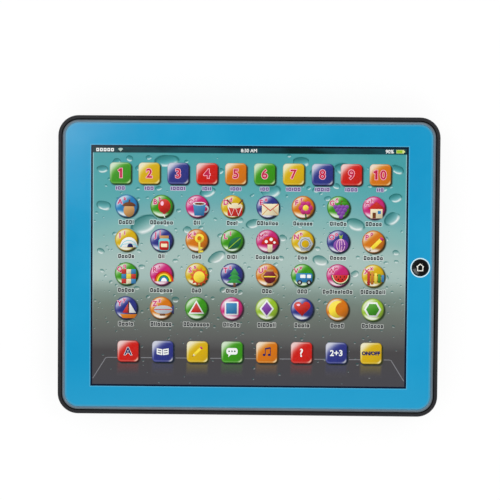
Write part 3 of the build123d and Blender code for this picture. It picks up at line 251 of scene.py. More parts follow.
def casing():
    """Black casing: a satin rim above with a painted highlight along its top, a spark-eroded grain on
    the sides and the back.
    """
    f = Finish("casing_black", Specular_IOR_Level=0.3)
    cloud = f.noise(45.0, 4.0)
    black = f.ramp(cloud, [(0.3, (13, 13, 15)), (0.7, (20, 20, 22))])
    # painted highlight: the rim's top turns paler, standing in for the light it catches
    crown_sheen = f.spread(f.z, 0.0, 0.8, CAD_BOX[1].z - 0.12 * MM, CAD_BOX[1].z - 0.01 * MM)
    back = f.spread(f.z, 1.0, 0.0, 18 * MM, 20 * MM)
    grain = f.noise(1500.0, 2.0)
    scuff = f.spread(f.noise(90.0, 5.0, (1, 6, 1)), 0.0, 0.08, 0.55, 0.75)
    rough = f.math("MULTIPLY_ADD", back, 0.18, f.spread(grain, 0.3, 0.38))
    rough = f.math("ADD", rough, scuff)
    f.coat(f.mix(crown_sheen, black, (40, 40, 44)), rough, grain, 0.00004, 0.35)
    return f


def frame_band():
    """Satin grey moulding: painted shade at its outer edge, by the gap to the rim, and taking up blue
    beside the face.
    """
    f = Finish("frame_grey")
    cloud = f.noise(60.0, 4.0)
    grey = f.ramp(cloud, [(0.3, (90, 104, 114)), (0.7, (100, 115, 124))])
    edge = f.past_face()
    grey = f.mix(f.spread(edge, 0.55, 0.0, 0.0002, 0.001), grey, (66, 136, 172))
    # painted shade: the band darkens towards its outer edge, where the gap to the rim is in shade
    grey = f.mix(f.spread(edge, 0.0, 0.75, 0.0012, 0.0017), grey, (36, 38, 42))
    f.coat(grey, f.spread(f.noise(220.0, 3.0), 0.28, 0.4), f.noise(1200.0, 3.0), 0.00003, 0.5)
    return f


def face_sheet():
    """The printed sheet: blue surround, dark line, and the picture area with its two bars."""
    f = Finish("face_print", Specular_IOR_Level=0.5)
    screen_x = f.math("ABSOLUTE", f.math("SUBTRACT", f.x, SCREEN_RIGHT * MM))
    screen_y = f.math("ABSOLUTE", f.math("ADD", f.y, SCREEN_DOWN * MM))
    outside = f.math(
        "MAXIMUM",
        f.math("SUBTRACT", screen_x, SCREEN_X * MM),
        f.math("SUBTRACT", screen_y, SCREEN_Y * MM),
    )
    edge = f.past_face()

    cloud = f.noise(28.0, 3.0)
    blue = f.ramp(cloud, [(0.35, (18, 151, 201)), (0.65, (26, 156, 205))])
    blue = f.mix(f.spread(f.y, 0.7, 0.0, -90 * MM, -60 * MM), blue, (42, 160, 206))
    blue = f.mix(f.spread(edge, 0.0, 0.8, -0.0013, -0.0006), blue, (76, 158, 192))
    blue = f.mix(f.spread(outside, 0.5, 0.0, 0.0004, 0.0009), blue, (110, 190, 222))

    lowest, highest = WALLPAPER[0][0], WALLPAPER[-1][0]
    out = f.math("ABSOLUTE", f.x)
    side = f.spread(out, 0.0, SIDE_LEAD * MM, SIDE_START * MM, SIDE_END * MM)
    upper = f.spread(f.y, 0.0, 1.0, SIDE_FOOT * MM, 0.0)
    height = f.math("MULTIPLY_ADD", side, upper, f.y)
    picture = f.spread(height, 0.0, 1.0, lowest * MM, highest * MM)
    stops = [((y - lowest) / (highest - lowest), colour) for y, colour in WALLPAPER]
    picture = f.ramp(picture, stops)
    haze = f.spread(f.noise(26.0, 3.0, (1, 2, 1)), 0.0, 0.08, 0.5, 0.75)
    haze = f.math("MULTIPLY", haze, f.spread(f.y, 0.0, 1.0, -45 * MM, -20 * MM))
    picture = f.mix(haze, picture, (190, 206, 200))
    fades = f.spread(f.y, 0.0, 0.5, -45 * MM, 10 * MM)
    thin = f.math("MULTIPLY", fades, f.spread(outside, 0.0, 1.0, -0.0018, -0.0014))
    picture = f.mix(thin, picture, (180, 214, 220))
    bar = f.ramp(f.noise(30.0, 3.0, (1, 3, 1)), [(0.4, (0, 38, 38)), (0.62, (20, 70, 80))])
    in_bar = f.spread(f.y, 0.0, 1.0, (STATUS_Y - 0.3) * MM, (STATUS_Y + 0.3) * MM)
    picture = f.mix(in_bar, picture, bar)
    line = f.mix(f.math("GREATER_THAN", outside, -0.00105), picture, (0, 20, 44))
    colour = f.mix(f.math("GREATER_THAN", outside, 0.00014), line, blue)
    f.coat(colour, f.spread(f.noise(70.0, 4.0), 0.12, 0.2), f.noise(40.0, 2.0), 0.00004, 0.25)
    return f


def ink():
    """Printing ink under the same gloss: each layer carries its own colours."""
    f = Finish("ink", Specular_IOR_Level=0.5)
    colour = f.node("VertexColor", layer_name="ink").outputs[0]
    dots = f.spread(f.noise(900.0, 3.0), 0.0, 0.07, 0.4, 0.7)
    colour = f.mix(dots, colour, (128, 120, 124))
    f.coat(colour, f.spread(f.noise(70.0, 4.0), 0.12, 0.2), f.noise(600.0, 2.0), 0.00001, 0.2)
    return f


def clear_film():
    """Polyester sheet with printed silver tracks in a grid."""
    f = Finish("clear_film")
    lines = f.math("FRACT", f.math("MULTIPLY", f.x, 400.0))
    track = f.math("LESS_THAN", lines, 0.22)
    milky = f.ramp(f.noise(80.0, 3.0), [(0.3, (196, 202, 198)), (0.7, (214, 218, 214))])
    colour = f.mix(track, milky, (150, 152, 150))
    f.coat(colour, f.spread(track, 0.35, 0.5, 0.0, 1.0), f.noise(300.0, 2.0), 0.00001, 0.3)
    return f


def battery_sleeve():
    """Shrink sleeve in two plain colours between bare steel ends."""
    f = Finish("battery_jacket")
    low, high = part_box("battery_1")
    bare, nub, band_length = 1.25 * MM, 1.3 * MM, 15 * MM
    start = f.math("LESS_THAN", f.x, low.x + bare)
    end = f.math("GREATER_THAN", f.x, high.x - nub - bare)
    steel = f.math("MAXIMUM", start, end)
    band = f.math("GREATER_THAN", f.x, high.x - band_length)
    streak = f.noise(120.0, 3.0, (0.2, 1, 1))
    dark = f.ramp(streak, [(0.3, (34, 40, 52)), (0.7, (46, 54, 68))])
    sleeve = f.mix(band, dark, (212, 146, 58))
    f.set("Metallic", steel)
    colour = f.mix(steel, sleeve, (176, 176, 170))
    f.coat(colour, f.spread(streak, 0.24, 0.36), f.noise(500.0, 2.0), 0.00001, 0.3)
    return f


def board():
    """Phenolic laminate: brown above, a dark solder mask with paler tracks below."""
    f = Finish("board_laminate")
    paper = f.ramp(f.noise(420.0, 4.0, (1, 5, 1)), [(0.3, (168, 122, 62)), (0.7, (196, 150, 86))])
    tracks = f.math("GREATER_THAN", f.noise(160.0, 1.0, (1, 3, 1)), 0.52)
    mask = f.mix(tracks, (24, 84, 44), (46, 122, 66))
    under = f.math("LESS_THAN", f.z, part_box("circuit_board")[0].z + 0.0002)
    colour = f.mix(under, paper, mask)
    f.coat(colour, f.spread(f.noise(300.0), 0.4, 0.55), f.noise(700.0), 0.00002, 0.4)
    return f


RUBBER = moulded("dome_rubber", (176, 178, 178), 0.6)


def dress_frame():
    """Gives every CAD node its finish."""
    finishes = (  # how the nodes' names start, where the first that fits counts
        (("back_shell", "battery_door"), casing()),
        ("front_frame", frame_band()),
        ("face_overlay", face_sheet()),
        ("home_button", moulded("button_black", (8, 8, 10), 0.1, 300.0, 0.00001)),
        ("home_dome", RUBBER),
        ("speaker_basket", metal("basket_steel", (190, 190, 184), 0.3, (6, 6, 1))),
        ("speaker_magnet", moulded("magnet_ferrite", (66, 66, 70), 0.5, 800.0)),
        ("speaker_cone", moulded("cone_paper", (48, 46, 48), 0.72, 700.0, 0.0001, 0.25)),
        (("speaker_terminals", "circuit_board"), board()),
        (("chip_blob", "transistor"), moulded("resin_black", (20, 20, 22), 0.2, 240.0, 0.0001)),
        (("battery_lead_plus", "speaker_lead_1"), moulded("lead_red", (196, 26, 24), 0.42, 500.0)),
        (("battery_lead", "speaker_lead", "tail"), moulded("lead_black", (34, 34, 36), 0.42, 500.0)),
        (
            ("battery_spring", "battery_contact", "battery_link"),
            metal("contact_nickel", (214, 212, 204), 0.22, (1, 12, 1), 0.1),
        ),
        ("battery", battery_sleeve()),
        (("top_circuit", "spacer", "bottom_circuit"), clear_film()),
        ("capacitor", moulded("capacitor_sleeve", (28, 40, 96), 0.3, 400.0)),
        ("resistor", moulded("resistor_tan", (206, 170, 116), 0.4, 500.0)),
        ("", metal("screw_steel", (186, 188, 192), 0.34)),
    )
    for name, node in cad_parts.items():
        finish = next(made for starts, made in finishes if name.startswith(starts))
        for slot in node.material_slots:
            slot.material = finish.material


def new_object(name, data):
    made = bpy.data.objects.new(name, data)
    bpy.context.scene.collection.objects.link(made)
    return made


def new_piece(name, points, faces, material):
    mesh = bpy.data.meshes.new(name)
    mesh.from_pydata(points, [], faces)
    mesh.materials.append(material)
    return new_object(name, mesh)


def rubber_dome():
    """The dome under the home cap, turned about its own axis."""
    low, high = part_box("home_dome")
    x, y = (low.x + high.x) / 2, (low.y + high.y) / 2
    wide, tall = (high.x - low.x) / 2, high.z - low.z
    web, bow = 0.5 * MM, 0.12 * MM
    steps, turns = 8, 48

    def leg(start, end):
        """The dome's leg, bowed outwards a little."""
        points = []
        for i in range(steps + 1):
            t = i / steps
            radius = start[0] + (end[0] - start[0]) * t + bow * sin(pi * t)
            points.append((radius, start[1] + (end[1] - start[1]) * t))
        return points

    profile = [(wide / 2 - web / 2, tall)]
    profile += leg((wide / 2, tall - web / 4), (wide - web, web))
    profile += [(wide, web), (wide, 0.0), (wide - 2 * web, 0.0)]
    profile += leg((wide - 2 * web, 0.0), (wide / 2 - web, tall - web))[1:]
    points = [(x, y, low.z + tall), (x, y, low.z + tall - web)]
    faces = []
    for radius, height in profile:
        for i in range(turns):
            a = 2 * pi * i / turns
            points.append((x + radius * cos(a), y + radius * sin(a), low.z + height))
    for i in range(turns):
        j = (i + 1) % turns
        faces.append([0, 2 + i, 2 + j])
        for ring in range(len(profile) - 1):
            first = 2 + ring * turns
            faces.append([first + i, first + turns + i, first + turns + j, first + j])
        last = len(points) - turns
        faces.append([1, last + j, last + i])
    piece = new_piece("rubber_dome", points, faces, RUBBER.material)
    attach(piece, "tablet")
    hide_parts("home_dome")
    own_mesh(piece)


# ---- printing
INK = ink()


def circle(x, y, radius, other=None, start=0.0, end=360.0, steps=40):
    """Points round an ellipse, or round a part of it, counter-clockwise."""
    other = radius if other is None else other
    count = steps if end - start >= 360 else steps + 1
    angles = [radians(start + (end - start) * i / steps) for i in range(count)]
    return [(x + radius * cos(a), y + other * sin(a)) for a in angles]


def rounded(x, y, width, height, corner, steps=5):
    """Points round a rectangle with round corners."""
    points = []
    for quarter, (side, rise) in enumerate(((1, 1), (-1, 1), (-1, -1), (1, -1))):
        cx, cy = x + side * (width / 2 - corner), y + rise * (height / 2 - corner)
        for i in range(steps + 1):
            a = pi / 2 * (quarter + i / steps)
            points.append((cx + corner * cos(a), cy + corner * sin(a)))
    return points


def finer(points, step):
    """The same outline with more points along its long sides."""
    result = []
    for (ax, ay), (bx, by) in zip(points, points[1:] + points[:1]):
        count = max(1, ceil(hypot(bx - ax, by - ay) / step))
        result += [(ax + (bx - ax) * i / count, ay + (by - ay) * i / count) for i in range(count)]
    return result


def turned(points, degrees):
    a = radians(degrees)
    return [(x * cos(a) - y * sin(a), x * sin(a) + y * cos(a)) for x, y in points]


def signed_area(loop):
    """Twice the area inside a loop; negative when it runs clockwise."""
    return sum(a[0] * b[1] - b[0] * a[1] for a, b in zip(loop, loop[1:] + loop[:1]))


class Print:
    """Flat coloured shapes in thin layers, drawn from the bottom up about one middle point."""

    def __init__(self, name, x=0.0, y=0.0, lift=FIRST_LAYER):
        self.name = name
        self.x, self.y = x, y
        self.scale = 1.0
        self.level = FACE_Z + lift
        self.points, self.faces, self.colours = [], [], []

    def add(self, points, faces, colour, x=0.0, y=0.0):
        """One layer. colour is plain, or a function of the place relative to the shape's middle."""
        first = len(self.points)
        for px, py in points:
            place = (self.x + x + px * self.scale, self.y + y + py * self.scale, self.level)
            self.points.append(place)
            self.colours.append(colour(px, py) if callable(colour) else colour)
        for face in faces:
            ahead = signed_area([points[i] for i in face]) > 0
            order = face if ahead else reversed(face)
            self.faces.append([first + i for i in order])
        self.level += LAYER

    def flat(self, points, colour, *holes):
        """A shape in one layer, with holes where they are given."""
        loops = [points, *holes]
        every = [p for loop in loops for p in loop]
        corners = [[Vector((px, py, 0)) for px, py in loop] for loop in loops]
        self.add(every, tessellate_polygon(corners), colour)

    def fill(self, points, colour, *holes):
        """The same, but with a soft light across it."""
        reach = max(hypot(px - points[0][0], py - points[0][1]) for px, py in points) + 0.01
        mx, my = (sum(values) / len(points) for values in zip(*points))

        def lit(px, py):
            slope = ((py - my) - 0.5 * (px - mx)) / reach
            return mixed(mixed(colour, WHITE, slope * 0.45), BLACK, -slope * 0.5)

        self.flat(points, lit, *holes)

    def merge(self, outlines, colour, x=0.0, y=0.0):
        """Outlines that may overlap, as one flat shape in which no face lies on another."""
        points, loops = [], []
        for outline in outlines:
            size = signed_area(outline)
            if abs(size) > SMALLEST:
                loops.append(range(len(points), len(points) + len(outline)))
                points += map(Vector, outline if size > 0 else outline[::-1])
        made, _, faces, _, _, sources = delaunay_2d_cdt(points, [], loops, 0, SMALLEST)
        inside = [face for face, source in zip(faces, sources) if source]
        self.add([(p.x, p.y) for p in made], inside, colour, x, y)

    def shade(self, points, colour, rings, x=0.0, y=0.0):
        """A shape in rings about (0, 0), so that its colour can change from place to place."""
        count = len(points)
        grid = [(0.0, 0.0)]
        faces = []
        for ring in range(1, rings + 1):
            share = ring / rings
            grid += [(px * share, py * share) for px, py in points]
            outer = 1 + (ring - 1) * count
            for i in range(count):
                j = (i + 1) % count
                if ring == 1:
                    faces.append([0, outer + i, outer + j])
                else:
                    faces.append([outer - count + i, outer + i, outer + j, outer - count + j])
        self.add(grid, faces, colour, x, y)

    def line(self, points, width, colour):
        """A band along a line of points, with square ends."""
        left, right = [], []
        for i, (px, py) in enumerate(points):
            before = points[max(i - 1, 0)]
            after = points[min(i + 1, len(points) - 1)]
            dx, dy = after[0] - before[0], after[1] - before[1]
            size = hypot(dx, dy)
            nx, ny = -dy / size * width / 2, dx / size * width / 2
            left.append((px + nx, py + ny))
            right.append((px - nx, py - ny))
        count = len(points)
        faces = [[i, i + 1, count + i + 1, count + i] for i in range(count - 1)]
        self.add(left + right, faces, colour)

    def write(self, text, size, colour, grow=0.0, x=0.0, y=0.0):
        """Plain figures or letters, with strokes that are wider by twice grow.

        The outline of an M can't be grown, so text with one is printed four times, a little apart.
        """
        if "M" in text and grow:
            apart = 0.7 * grow
            for side, rise in ((-1, -1), (1, -1), (-1, 1), (1, 1)):
                self.write(text, size, colour, 0.0, x + side * apart, y + rise * apart)
            return
        curve = bpy.data.curves.new("figures", "FONT")
        curve.body = text
        curve.size = size
        curve.offset = grow
        curve.resolution_u = 3
        holder = new_object("figures", curve)
        bpy.context.view_layer.update()
        mesh = holder.to_mesh()
        xs, ys = zip(*((v.co.x, v.co.y) for v in mesh.vertices))
        mx, my = (min(xs) + max(xs)) / 2, (min(ys) + max(ys)) / 2
        outlines = [[(xs[i] - mx, ys[i] - my) for i in p.vertices] for p in mesh.polygons]
        holder.to_mesh_clear()
        self.merge(outlines, colour, x, y)
        bpy.data.curves.remove(curve)

    def make(self, body="tablet", drape=None):
        """The joined piece. drape is a node whose surface the layers follow."""
        if drape:
            placed = []
            for x, y, z in self.points:
                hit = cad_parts[drape].ray_cast((x * MM, y * MM, 1.0), (0, 0, -1))[1]
                placed.append((x, y, hit.z / MM + z - FACE_Z))
            self.points = placed
        points = [(x * MM, y * MM, z * MM) for x, y, z in self.points]
        piece = new_piece(self.name, points, self.faces, INK.material)
        layer = piece.data.color_attributes.new("ink", "FLOAT_COLOR", "POINT")
        layer.data.foreach_set("color", [c for colour in self.colours for c in linear(colour)])
        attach(piece, body)


# ---- small pictures, each about (0, 0)
def acorn(p):
    p.fill(circle(0, -0.8, 2.5, 3.0), TAN)
    p.fill(circle(0, 1.0, 3.0, 1.9, 0, 180), BROWN)
    p.line([(0, 2.6), (0.3, 4.0)], 0.7, BROWN)


def balloon(p):
    p.line([(0, -1.4), (-0.4, -2.8), (0.3, -4.0)], 0.35, WHITE)
    p.fill([(-0.7, -2.4), (0.7, -2.4), (0, -1.2)], RED)
    p.fill(circle(0, 1.2, 2.8, 3.2), RED)
    p.flat(circle(-1.0, 2.4, 0.7, 1.0), ROSE)


def cup(p):
    p.fill(circle(2.5, 0.0, 1.7), SILVER, circle(2.5, 0.0, 1.0)[::-1])
    p.fill([(-3, 2.4), (-2.3, -3), (2.0, -3), (2.8, 2.4)], SKY)
    p.fill(circle(-0.1, 2.4, 2.9, 0.8), WHITE)
    p.flat(circle(-0.1, 2.35, 2.3, 0.5), BROWN)


def drum(p):
    p.fill(rounded(0, -0.8, 6.6, 4.6, 0.9), RED)
    p.line([(-3.2, 1.2), (-1.6, -2.8), (0, 1.2), (1.6, -2.8), (3.2, 1.2)], 0.4, WHITE)
    p.fill(circle(0, 1.6, 3.4, 1.2), CREAM)
    for side in (-1, 1):
        p.line([(side * 1.6, 2.2), (side * 3.6, 4.4)], 0.5, BROWN)


def envelope(p):
    p.fill(rounded(0, 0, 7.6, 5.2, 0.5), CREAM)
    p.line([(-3.6, 2.4), (0, -0.5), (3.6, 2.4)], 0.45, RED)
    p.line([(-3.6, -2.4), (-1.1, 0.2)], 0.3, TAN)
    p.line([(3.6, -2.4), (1.1, 0.2)], 0.3, TAN)


def flower(p):
    p.line([(0, -0.5), (0.2, -4.6)], 0.6, DARK_GREEN)
    for x, y in circle(0, 0.9, 1.9, steps=6):
        p.fill(circle(x, y, 1.3, steps=20), PINK)
    p.fill(circle(0, 0.9, 1.3), LEMON)


def grapes(p):
    for row in range(4):
        for i in range(4 - row):
            p.fill(circle((i - (3 - row) / 2) * 1.7, 1.4 - row * 1.45, 0.98, steps=20), VIOLET)
    p.line([(0, 2.2), (0.4, 4.2)], 0.5, BROWN)
    p.fill(circle(1.5, 3.1, 1.5, 0.8), GREEN)


def house(p):
    p.fill(rounded(0, -1.4, 5.4, 4.4, 0.2), CREAM)
    p.fill([(-3.9, 0.6), (3.9, 0.6), (0, 4.0)], RED)
    p.flat(rounded(-1.0, -2.3, 1.5, 2.5, 0.1), BROWN)
    p.flat(rounded(1.3, -0.9, 1.4, 1.4, 0.1), SKY)


def igloo(p):
    p.fill(circle(0, -2.2, 4.0, 4.6, 0, 180), WHITE)
    for w, h in ((3.95, 1.6), (3.5, 3.1)):
        p.line(circle(0, -2.2, w, h, 0, 180), 0.25, AQUA)
    p.fill(circle(0.6, -2.2, 1.3, 1.8, 0, 180), NAVY)


def jar(p):
    p.fill(rounded(0, -0.9, 5.0, 5.8, 1.2), AQUA)
    p.fill(rounded(0, -1.3, 4.2, 4.2, 0.9), RED)
    p.fill(rounded(0, 2.6, 4.2, 1.3, 0.3), TAN)
    p.flat(rounded(0, -1.2, 2.8, 1.6, 0.2), CREAM)


def key(p):
    p.fill(circle(0, 2.1, 2.1), LEMON, circle(0, 2.1, 1.0)[::-1])
    p.fill(rounded(0, -2.0, 0.9, 5.0, 0.2), LEMON)
    p.fill(rounded(1.0, -3.8, 1.5, 0.8, 0.1), LEMON)
    p.fill(rounded(0.8, -2.3, 1.2, 0.8, 0.1), LEMON)


def leaf(p):
    half = [(4 * x, 2.2 * y * y) for x, y in circle(0, 0, 1, end=180, steps=15)]
    shape = half + [(x, -y) for x, y in half[-2:0:-1]]
    p.fill(turned(shape, 42), (12, 96, 56))
    p.line(turned([(-4.6, 0), (0, 0.1), (3.6, 0)], 42), 0.35, LIME)


def mushroom(p):
    p.fill(rounded(0, -1.8, 2.2, 4.2, 0.7), CREAM)
    p.fill(circle(0, -0.4, 3.9, 3.6, 0, 180), RED)
    for x, y, r in ((-1.7, 0.9, 0.7), (0.5, 1.9, 0.75), (2.0, 0.5, 0.55)):
        p.flat(circle(x, y, r, steps=20), WHITE)


def nut(p):
    p.fill(circle(0, 0, 3.5, steps=6), SILVER, circle(0, 0, 1.7)[::-1])
    p.line(circle(0, 0, 2.3, steps=30), 0.25, GREY)


def onion(p):
    p.fill([(-0.5, 2.0), (0.5, 2.0), (0.9, 4.4), (0, 3.6), (-0.7, 4.5)], LIME)
    p.fill(circle(0, -0.5, 3.3, 2.9), VIOLET)
    for w in (1.8, 0.5):
        p.line(circle(0, -0.5, w, 2.8), 0.25, ROSE)


def pencil(p):
    p.fill(turned(rounded(0.2, 0, 5.6, 1.7, 0.1), 45), LEMON)
    p.fill(turned([(-2.6, -0.85), (-2.6, 0.85), (-4.3, 0)], 45), CREAM)
    p.fill(turned([(-3.6, -0.35), (-3.6, 0.35), (-4.4, 0)], 45), BLACK)
    p.fill(turned(rounded(3.5, 0, 1.2, 1.7, 0.3), 45), PINK)


def quilt(p):
    for row in range(3):
        for column in range(3):
            colour = (RED, CREAM, SKY, LEMON)[(row * 2 + column) % 4]
            p.fill(rounded((column - 1) * 2.2, (row - 1) * 2.2, 2.1, 2.1, 0.1), colour)
            p.level -= LAYER
    p.level += LAYER


def rainbow(p):
    for i, colour in enumerate((RED, ORANGE, LEMON, GREEN, SKY, WHITE)):
        p.flat(circle(0, -2.2, 4.4 - i * 0.62, 4.8 - i * 0.62, 0, 180), colour)


def sun(p):
    pairs = zip(circle(0, 0, 3.0, steps=24), circle(0, 0, 4.3, steps=24))
    p.fill([pair[i % 2] for i, pair in enumerate(pairs)], (222, 74, 16))
    p.fill(circle(0, 0, 2.6), LEMON)


def tree(p):
    p.fill(rounded(0, -3.4, 1.1, 2.2, 0.1), BROWN)
    for y, w in ((-2.6, 3.5), (-0.7, 2.9), (1.2, 2.1)):
        p.fill([(-w, y), (w, y), (0, y + 3.0)], (40, 150, 60))


def urn(p):
    p.fill(circle(0, 0.6, 3.9, 2.0), TAN, circle(0, 0.6, 3.2, 1.4)[::-1])
    p.fill(circle(0, 0.2, 2.7, 2.9), MAROON)
    p.fill(rounded(0, 3.2, 3.2, 0.9, 0.3), TAN)
    p.fill(rounded(0, -3.1, 2.8, 0.9, 0.3), TAN)
    p.line([(-2.6, 0.4), (0, 0.4), (2.6, 0.4)], 0.5, LEMON)


def van(p):
    p.fill(rounded(-0.4, 0.0, 7.4, 4.2, 0.9), SKY)
    p.flat(rounded(1.8, 0.7, 1.8, 1.5, 0.2), WHITE)
    p.flat(rounded(-1.0, 0.7, 2.4, 1.5, 0.2), WHITE)
    for x in (-2.4, 1.8):
        p.fill(circle(x, -2.1, 1.15), BLACK)
        p.flat(circle(x, -2.1, 0.5), SILVER)


def watermelon(p):
    p.fill(circle(0, 1.4, 4.2, 4.4, 180, 360), DARK_GREEN)
    p.flat(circle(0, 1.4, 3.7, 3.8, 180, 360), CREAM)
    p.fill(circle(0, 1.4, 3.4, 3.4, 180, 360), RED)
    for x, y in ((-1.8, 0.6), (0, 0.5), (1.8, 0.6), (-0.9, -0.6), (0.9, -0.6)):
        p.flat(circle(x, y, 0.26, 0.42, steps=12), BLACK)
        p.level -= LAYER
    p.level += LAYER


def xylophone(p):
    for side in (1, -1):
        p.line([(-3.9, side * 1.9), (3.9, side * 0.9)], 0.5, BROWN)
    for i, colour in enumerate((RED, ORANGE, LEMON, GREEN, SKY)):
        p.fill(rounded(-3.2 + i * 1.6, 0, 1.2, 6.4 - i * 0.8, 0.3), colour)


def yacht(p):
    p.line([(0, -1.6), (0, 4.2)], 0.4, BROWN)
    p.fill([(0.3, -1.2), (3.4, -1.2), (0.3, 3.8)], WHITE)
    p.fill([(-0.3, -1.2), (-0.3, 3.0), (-2.8, -1.2)], RED)
    p.fill([(-3.9, -1.8), (3.9, -1.8), (2.6, -3.6), (-2.6, -3.6)], ORANGE)


def zeppelin(p):
    p.fill([(2.4, 0.4), (4.6, 2.6), (4.6, -1.8)], NAVY)
    p.fill(circle(-0.3, 0.4, 4.2, 1.9), SILVER)
    p.line([(-4.4, 0.4), (0, 0.5), (3.8, 0.4)], 0.35, RED)
    p.fill(rounded(-0.6, -1.9, 2.4, 0.9, 0.3), BROWN)


def triangle(p):
    p.fill([(-3.6, -2.6), (3.6, -2.6), (0, 3.6)], WHITE)
    p.fill([(-2.6, -2.0), (2.6, -2.0), (0, 2.5)], RED)


def square(p):
    p.fill(rounded(0, 0, 6.2, 6.2, 0.5), WHITE)
    p.fill(rounded(0, 0, 4.9, 4.9, 0.3), SKY)


def diamond(p):
    p.fill([(0, -4.2), (3.3, 0), (0, 4.2), (-3.3, 0)], WHITE)
    p.fill([(0, -3.1), (2.4, 0), (0, 3.1), (-2.4, 0)], VIOLET)


def heart(p):
    points = []
    for i in range(48):
        a = 2 * pi * i / 48
        height = 13 * cos(a) - 5 * cos(2 * a) - 2 * cos(3 * a) - cos(4 * a)
        points.append((-3.7 * sin(a) ** 3, 0.24 * height + 0.5))
    p.fill(points, RED)
    p.flat(circle(-1.7, 1.9, 0.8, 0.5), ROSE)


def moon(p):
    arc = circle(0, 0, 3.9, 3.9, 60, 300)
    p.fill(arc + circle(2.6, 0, 3.45, 3.45, 115, 245)[::-1], LEMON)


def hexagon(p):
    p.fill(circle(0, 0, 3.9, steps=6), WHITE)
    p.fill(circle(0, 0, 3.0, steps=6), GREEN)


PICTURES = [
    acorn, balloon, cup, drum, envelope, flower, grapes, house,
    igloo, jar, key, leaf, mushroom, nut, onion, pencil,
    quilt, rainbow, sun, tree, urn, van, watermelon, xylophone,
    yacht, zeppelin, triangle, square, diamond, heart, moon, hexagon,
]  # fmt: skip
PICTURE_COLOURS = [SKY] + [GREEN, PINK, YELLOW, INDIGO, ORANGE] * 5
PICTURE_COLOURS += [GREEN, PINK, LIME, INDIGO, ORANGE, LIME]
NUMBER_COLOURS = [GREEN, YELLOW, INDIGO, RED, ORANGE] * 2
WORD_LENGTHS = [3, 3, 5, 4, 4, 3, 5, 5, 4, 3]

KEYS_SHIFT, MODE_SHIFT = 0.9, 1.25
NUMBER_Y, NUMBER_PITCH = SCREEN_TOP - 17.6, 18.3
SQUARE_SIDE, SQUARE_CORNER = 13.5, 2.5
FIGURE_SIZE = 8.0
CAPTION_Y, LABEL_Y = -9.6, -10.7  # rows of marks below the middles of number and picture keys
PICTURE_Y, ROW_PITCH, PICTURE_RADIUS = SCREEN_TOP - 38.35, 21.58, 7.2
PICTURE_SCALE = 1.4
COLUMN_PITCH, MODE_PITCH = 22.42, 22.1
MODE_Y = SCREEN_TOP - 130.95
NUMBERS, COLUMNS, LETTERS = 10, 8, 26


def from_edge(x, y, half, corner):
    """Distance outside a square with round corners; negative inside."""
    over_x, over_y = abs(x) - half + corner, abs(y) - half + corner
    return hypot(max(over_x, 0), max(over_y, 0)) + min(max(over_x, over_y), 0) - corner


def key_shadow(p, radius, corner, tint):
    """The printed dark blur that each key throws to its lower right."""
    blur = 0.75
    grow, wide_corner = radius + blur, corner + blur
    outline = finer(rounded(0, 0, 2 * grow, 2 * grow, wide_corner, 8), 1.5)
    deep = mixed((8, 24, 24), tint, 0.2)

    def colour(x, y):
        share = smooth(from_edge(x, y, grow, wide_corner), -1.05, -0.15)
        return mixed(deep, wallpaper(p.x + x + blur, p.y + y - blur), share)

    p.shade(outline, colour, 20, blur, -blur)


def square_key(p, base):
    """A cushion-like key: pale gloss at the upper left, a bright spot at the lower right corner."""
    half = SQUARE_SIDE / 2
    key_shadow(p, half, SQUARE_CORNER, base)
    dark, pale = mixed(base, BLACK, 0.5), mixed(base, WHITE, 0.82)
    bright = mixed(mixed(base, LEMON, 0.35), WHITE, 0.68)

    def colour(x, y):
        u, v = x / half, y / half
        low = (u - v) / 2
        inside = -from_edge(x, y, half, SQUARE_CORNER)
        gloss = smooth(hypot(u - 0.75, v + 0.95), 1.35, 2.15) * smooth(-low, -0.1, 0.8)
        tone = mixed(mixed(base, dark, smooth(low, 0.1, 1.2) * 0.22), pale, gloss)
        crown_sheen = smooth(inside, 1.3, 0.7) * smooth(inside, 0.1, 0.6)
        top = smooth(v, 0.6, 0.9) * smooth(u, 1.0, 0.6)
        left = smooth(-u, 0.6, 0.9) * smooth(-v, 1.1, 0.3)
        foot = smooth(-v, 0.6, 0.9) * 0.6
        tone = mixed(tone, pale, crown_sheen * max(top, left, foot) * 0.5)
        corner = smooth(inside, 1.6, 0.9) * smooth(inside, 0.15, 0.5)
        tone = mixed(tone, bright, corner * smooth(low, 0.68, 0.84))
        return mixed(tone, dark, smooth(inside, 0.45, 0.0) * (0.35 + 0.5 * smooth(low, -0.4, 0.5)))

    outline = finer(rounded(0, 0, SQUARE_SIDE, SQUARE_SIDE, SQUARE_CORNER, 7), 0.9)
    p.shade(outline, colour, 22)


def round_key(p, base):
    """A glassy disc: pale at the upper left, whitish at the bottom, dark round the lower right."""
    key_shadow(p, PICTURE_RADIUS, PICTURE_RADIUS, base)
    dark, pale = mixed(base, BLACK, 0.62), mixed(base, WHITE, 0.86)

    def colour(x, y):
        u, v = x / PICTURE_RADIUS, y / PICTURE_RADIUS
        far = hypot(u, v)
        low = (u - v) / 2
        tone = mixed(base, dark, smooth(low, 0.1, 0.8) * 0.45)
        gloss = smooth(v - 0.8 * u, 0.2, 1.05) * smooth(far, 1.0, 0.82)
        tone = mixed(tone, pale, gloss * 0.95)
        foot = smooth(-v - 0.2 * u, 0.42, 0.8) * smooth(far, 0.98, 0.88)
        tone = mixed(tone, WHITE, foot * 0.88)
        return mixed(tone, dark, smooth(far, 0.88, 1.0) * (0.3 + 0.6 * smooth(low, -0.4, 0.4)))

    p.shade(circle(0, 0, PICTURE_RADIUS, steps=56), colour, 16)


WORD_MARKS = ((1.65, 1.9), (1.65, 1.9), (1.45, 1.9), (0.6, 2.6), (1.65, 2.6))  # width, height
CAPITAL_MARKS = ((1.85, 2.1), (1.85, 2.1), (1.7, 2.1), (0.7, 2.1))
MARK_GAP, MARK_EDGE, MARK_FOOT = 0.5, 0.45, 0.95  # between marks, round them, and below the row
MARK_STROKE = 0.58


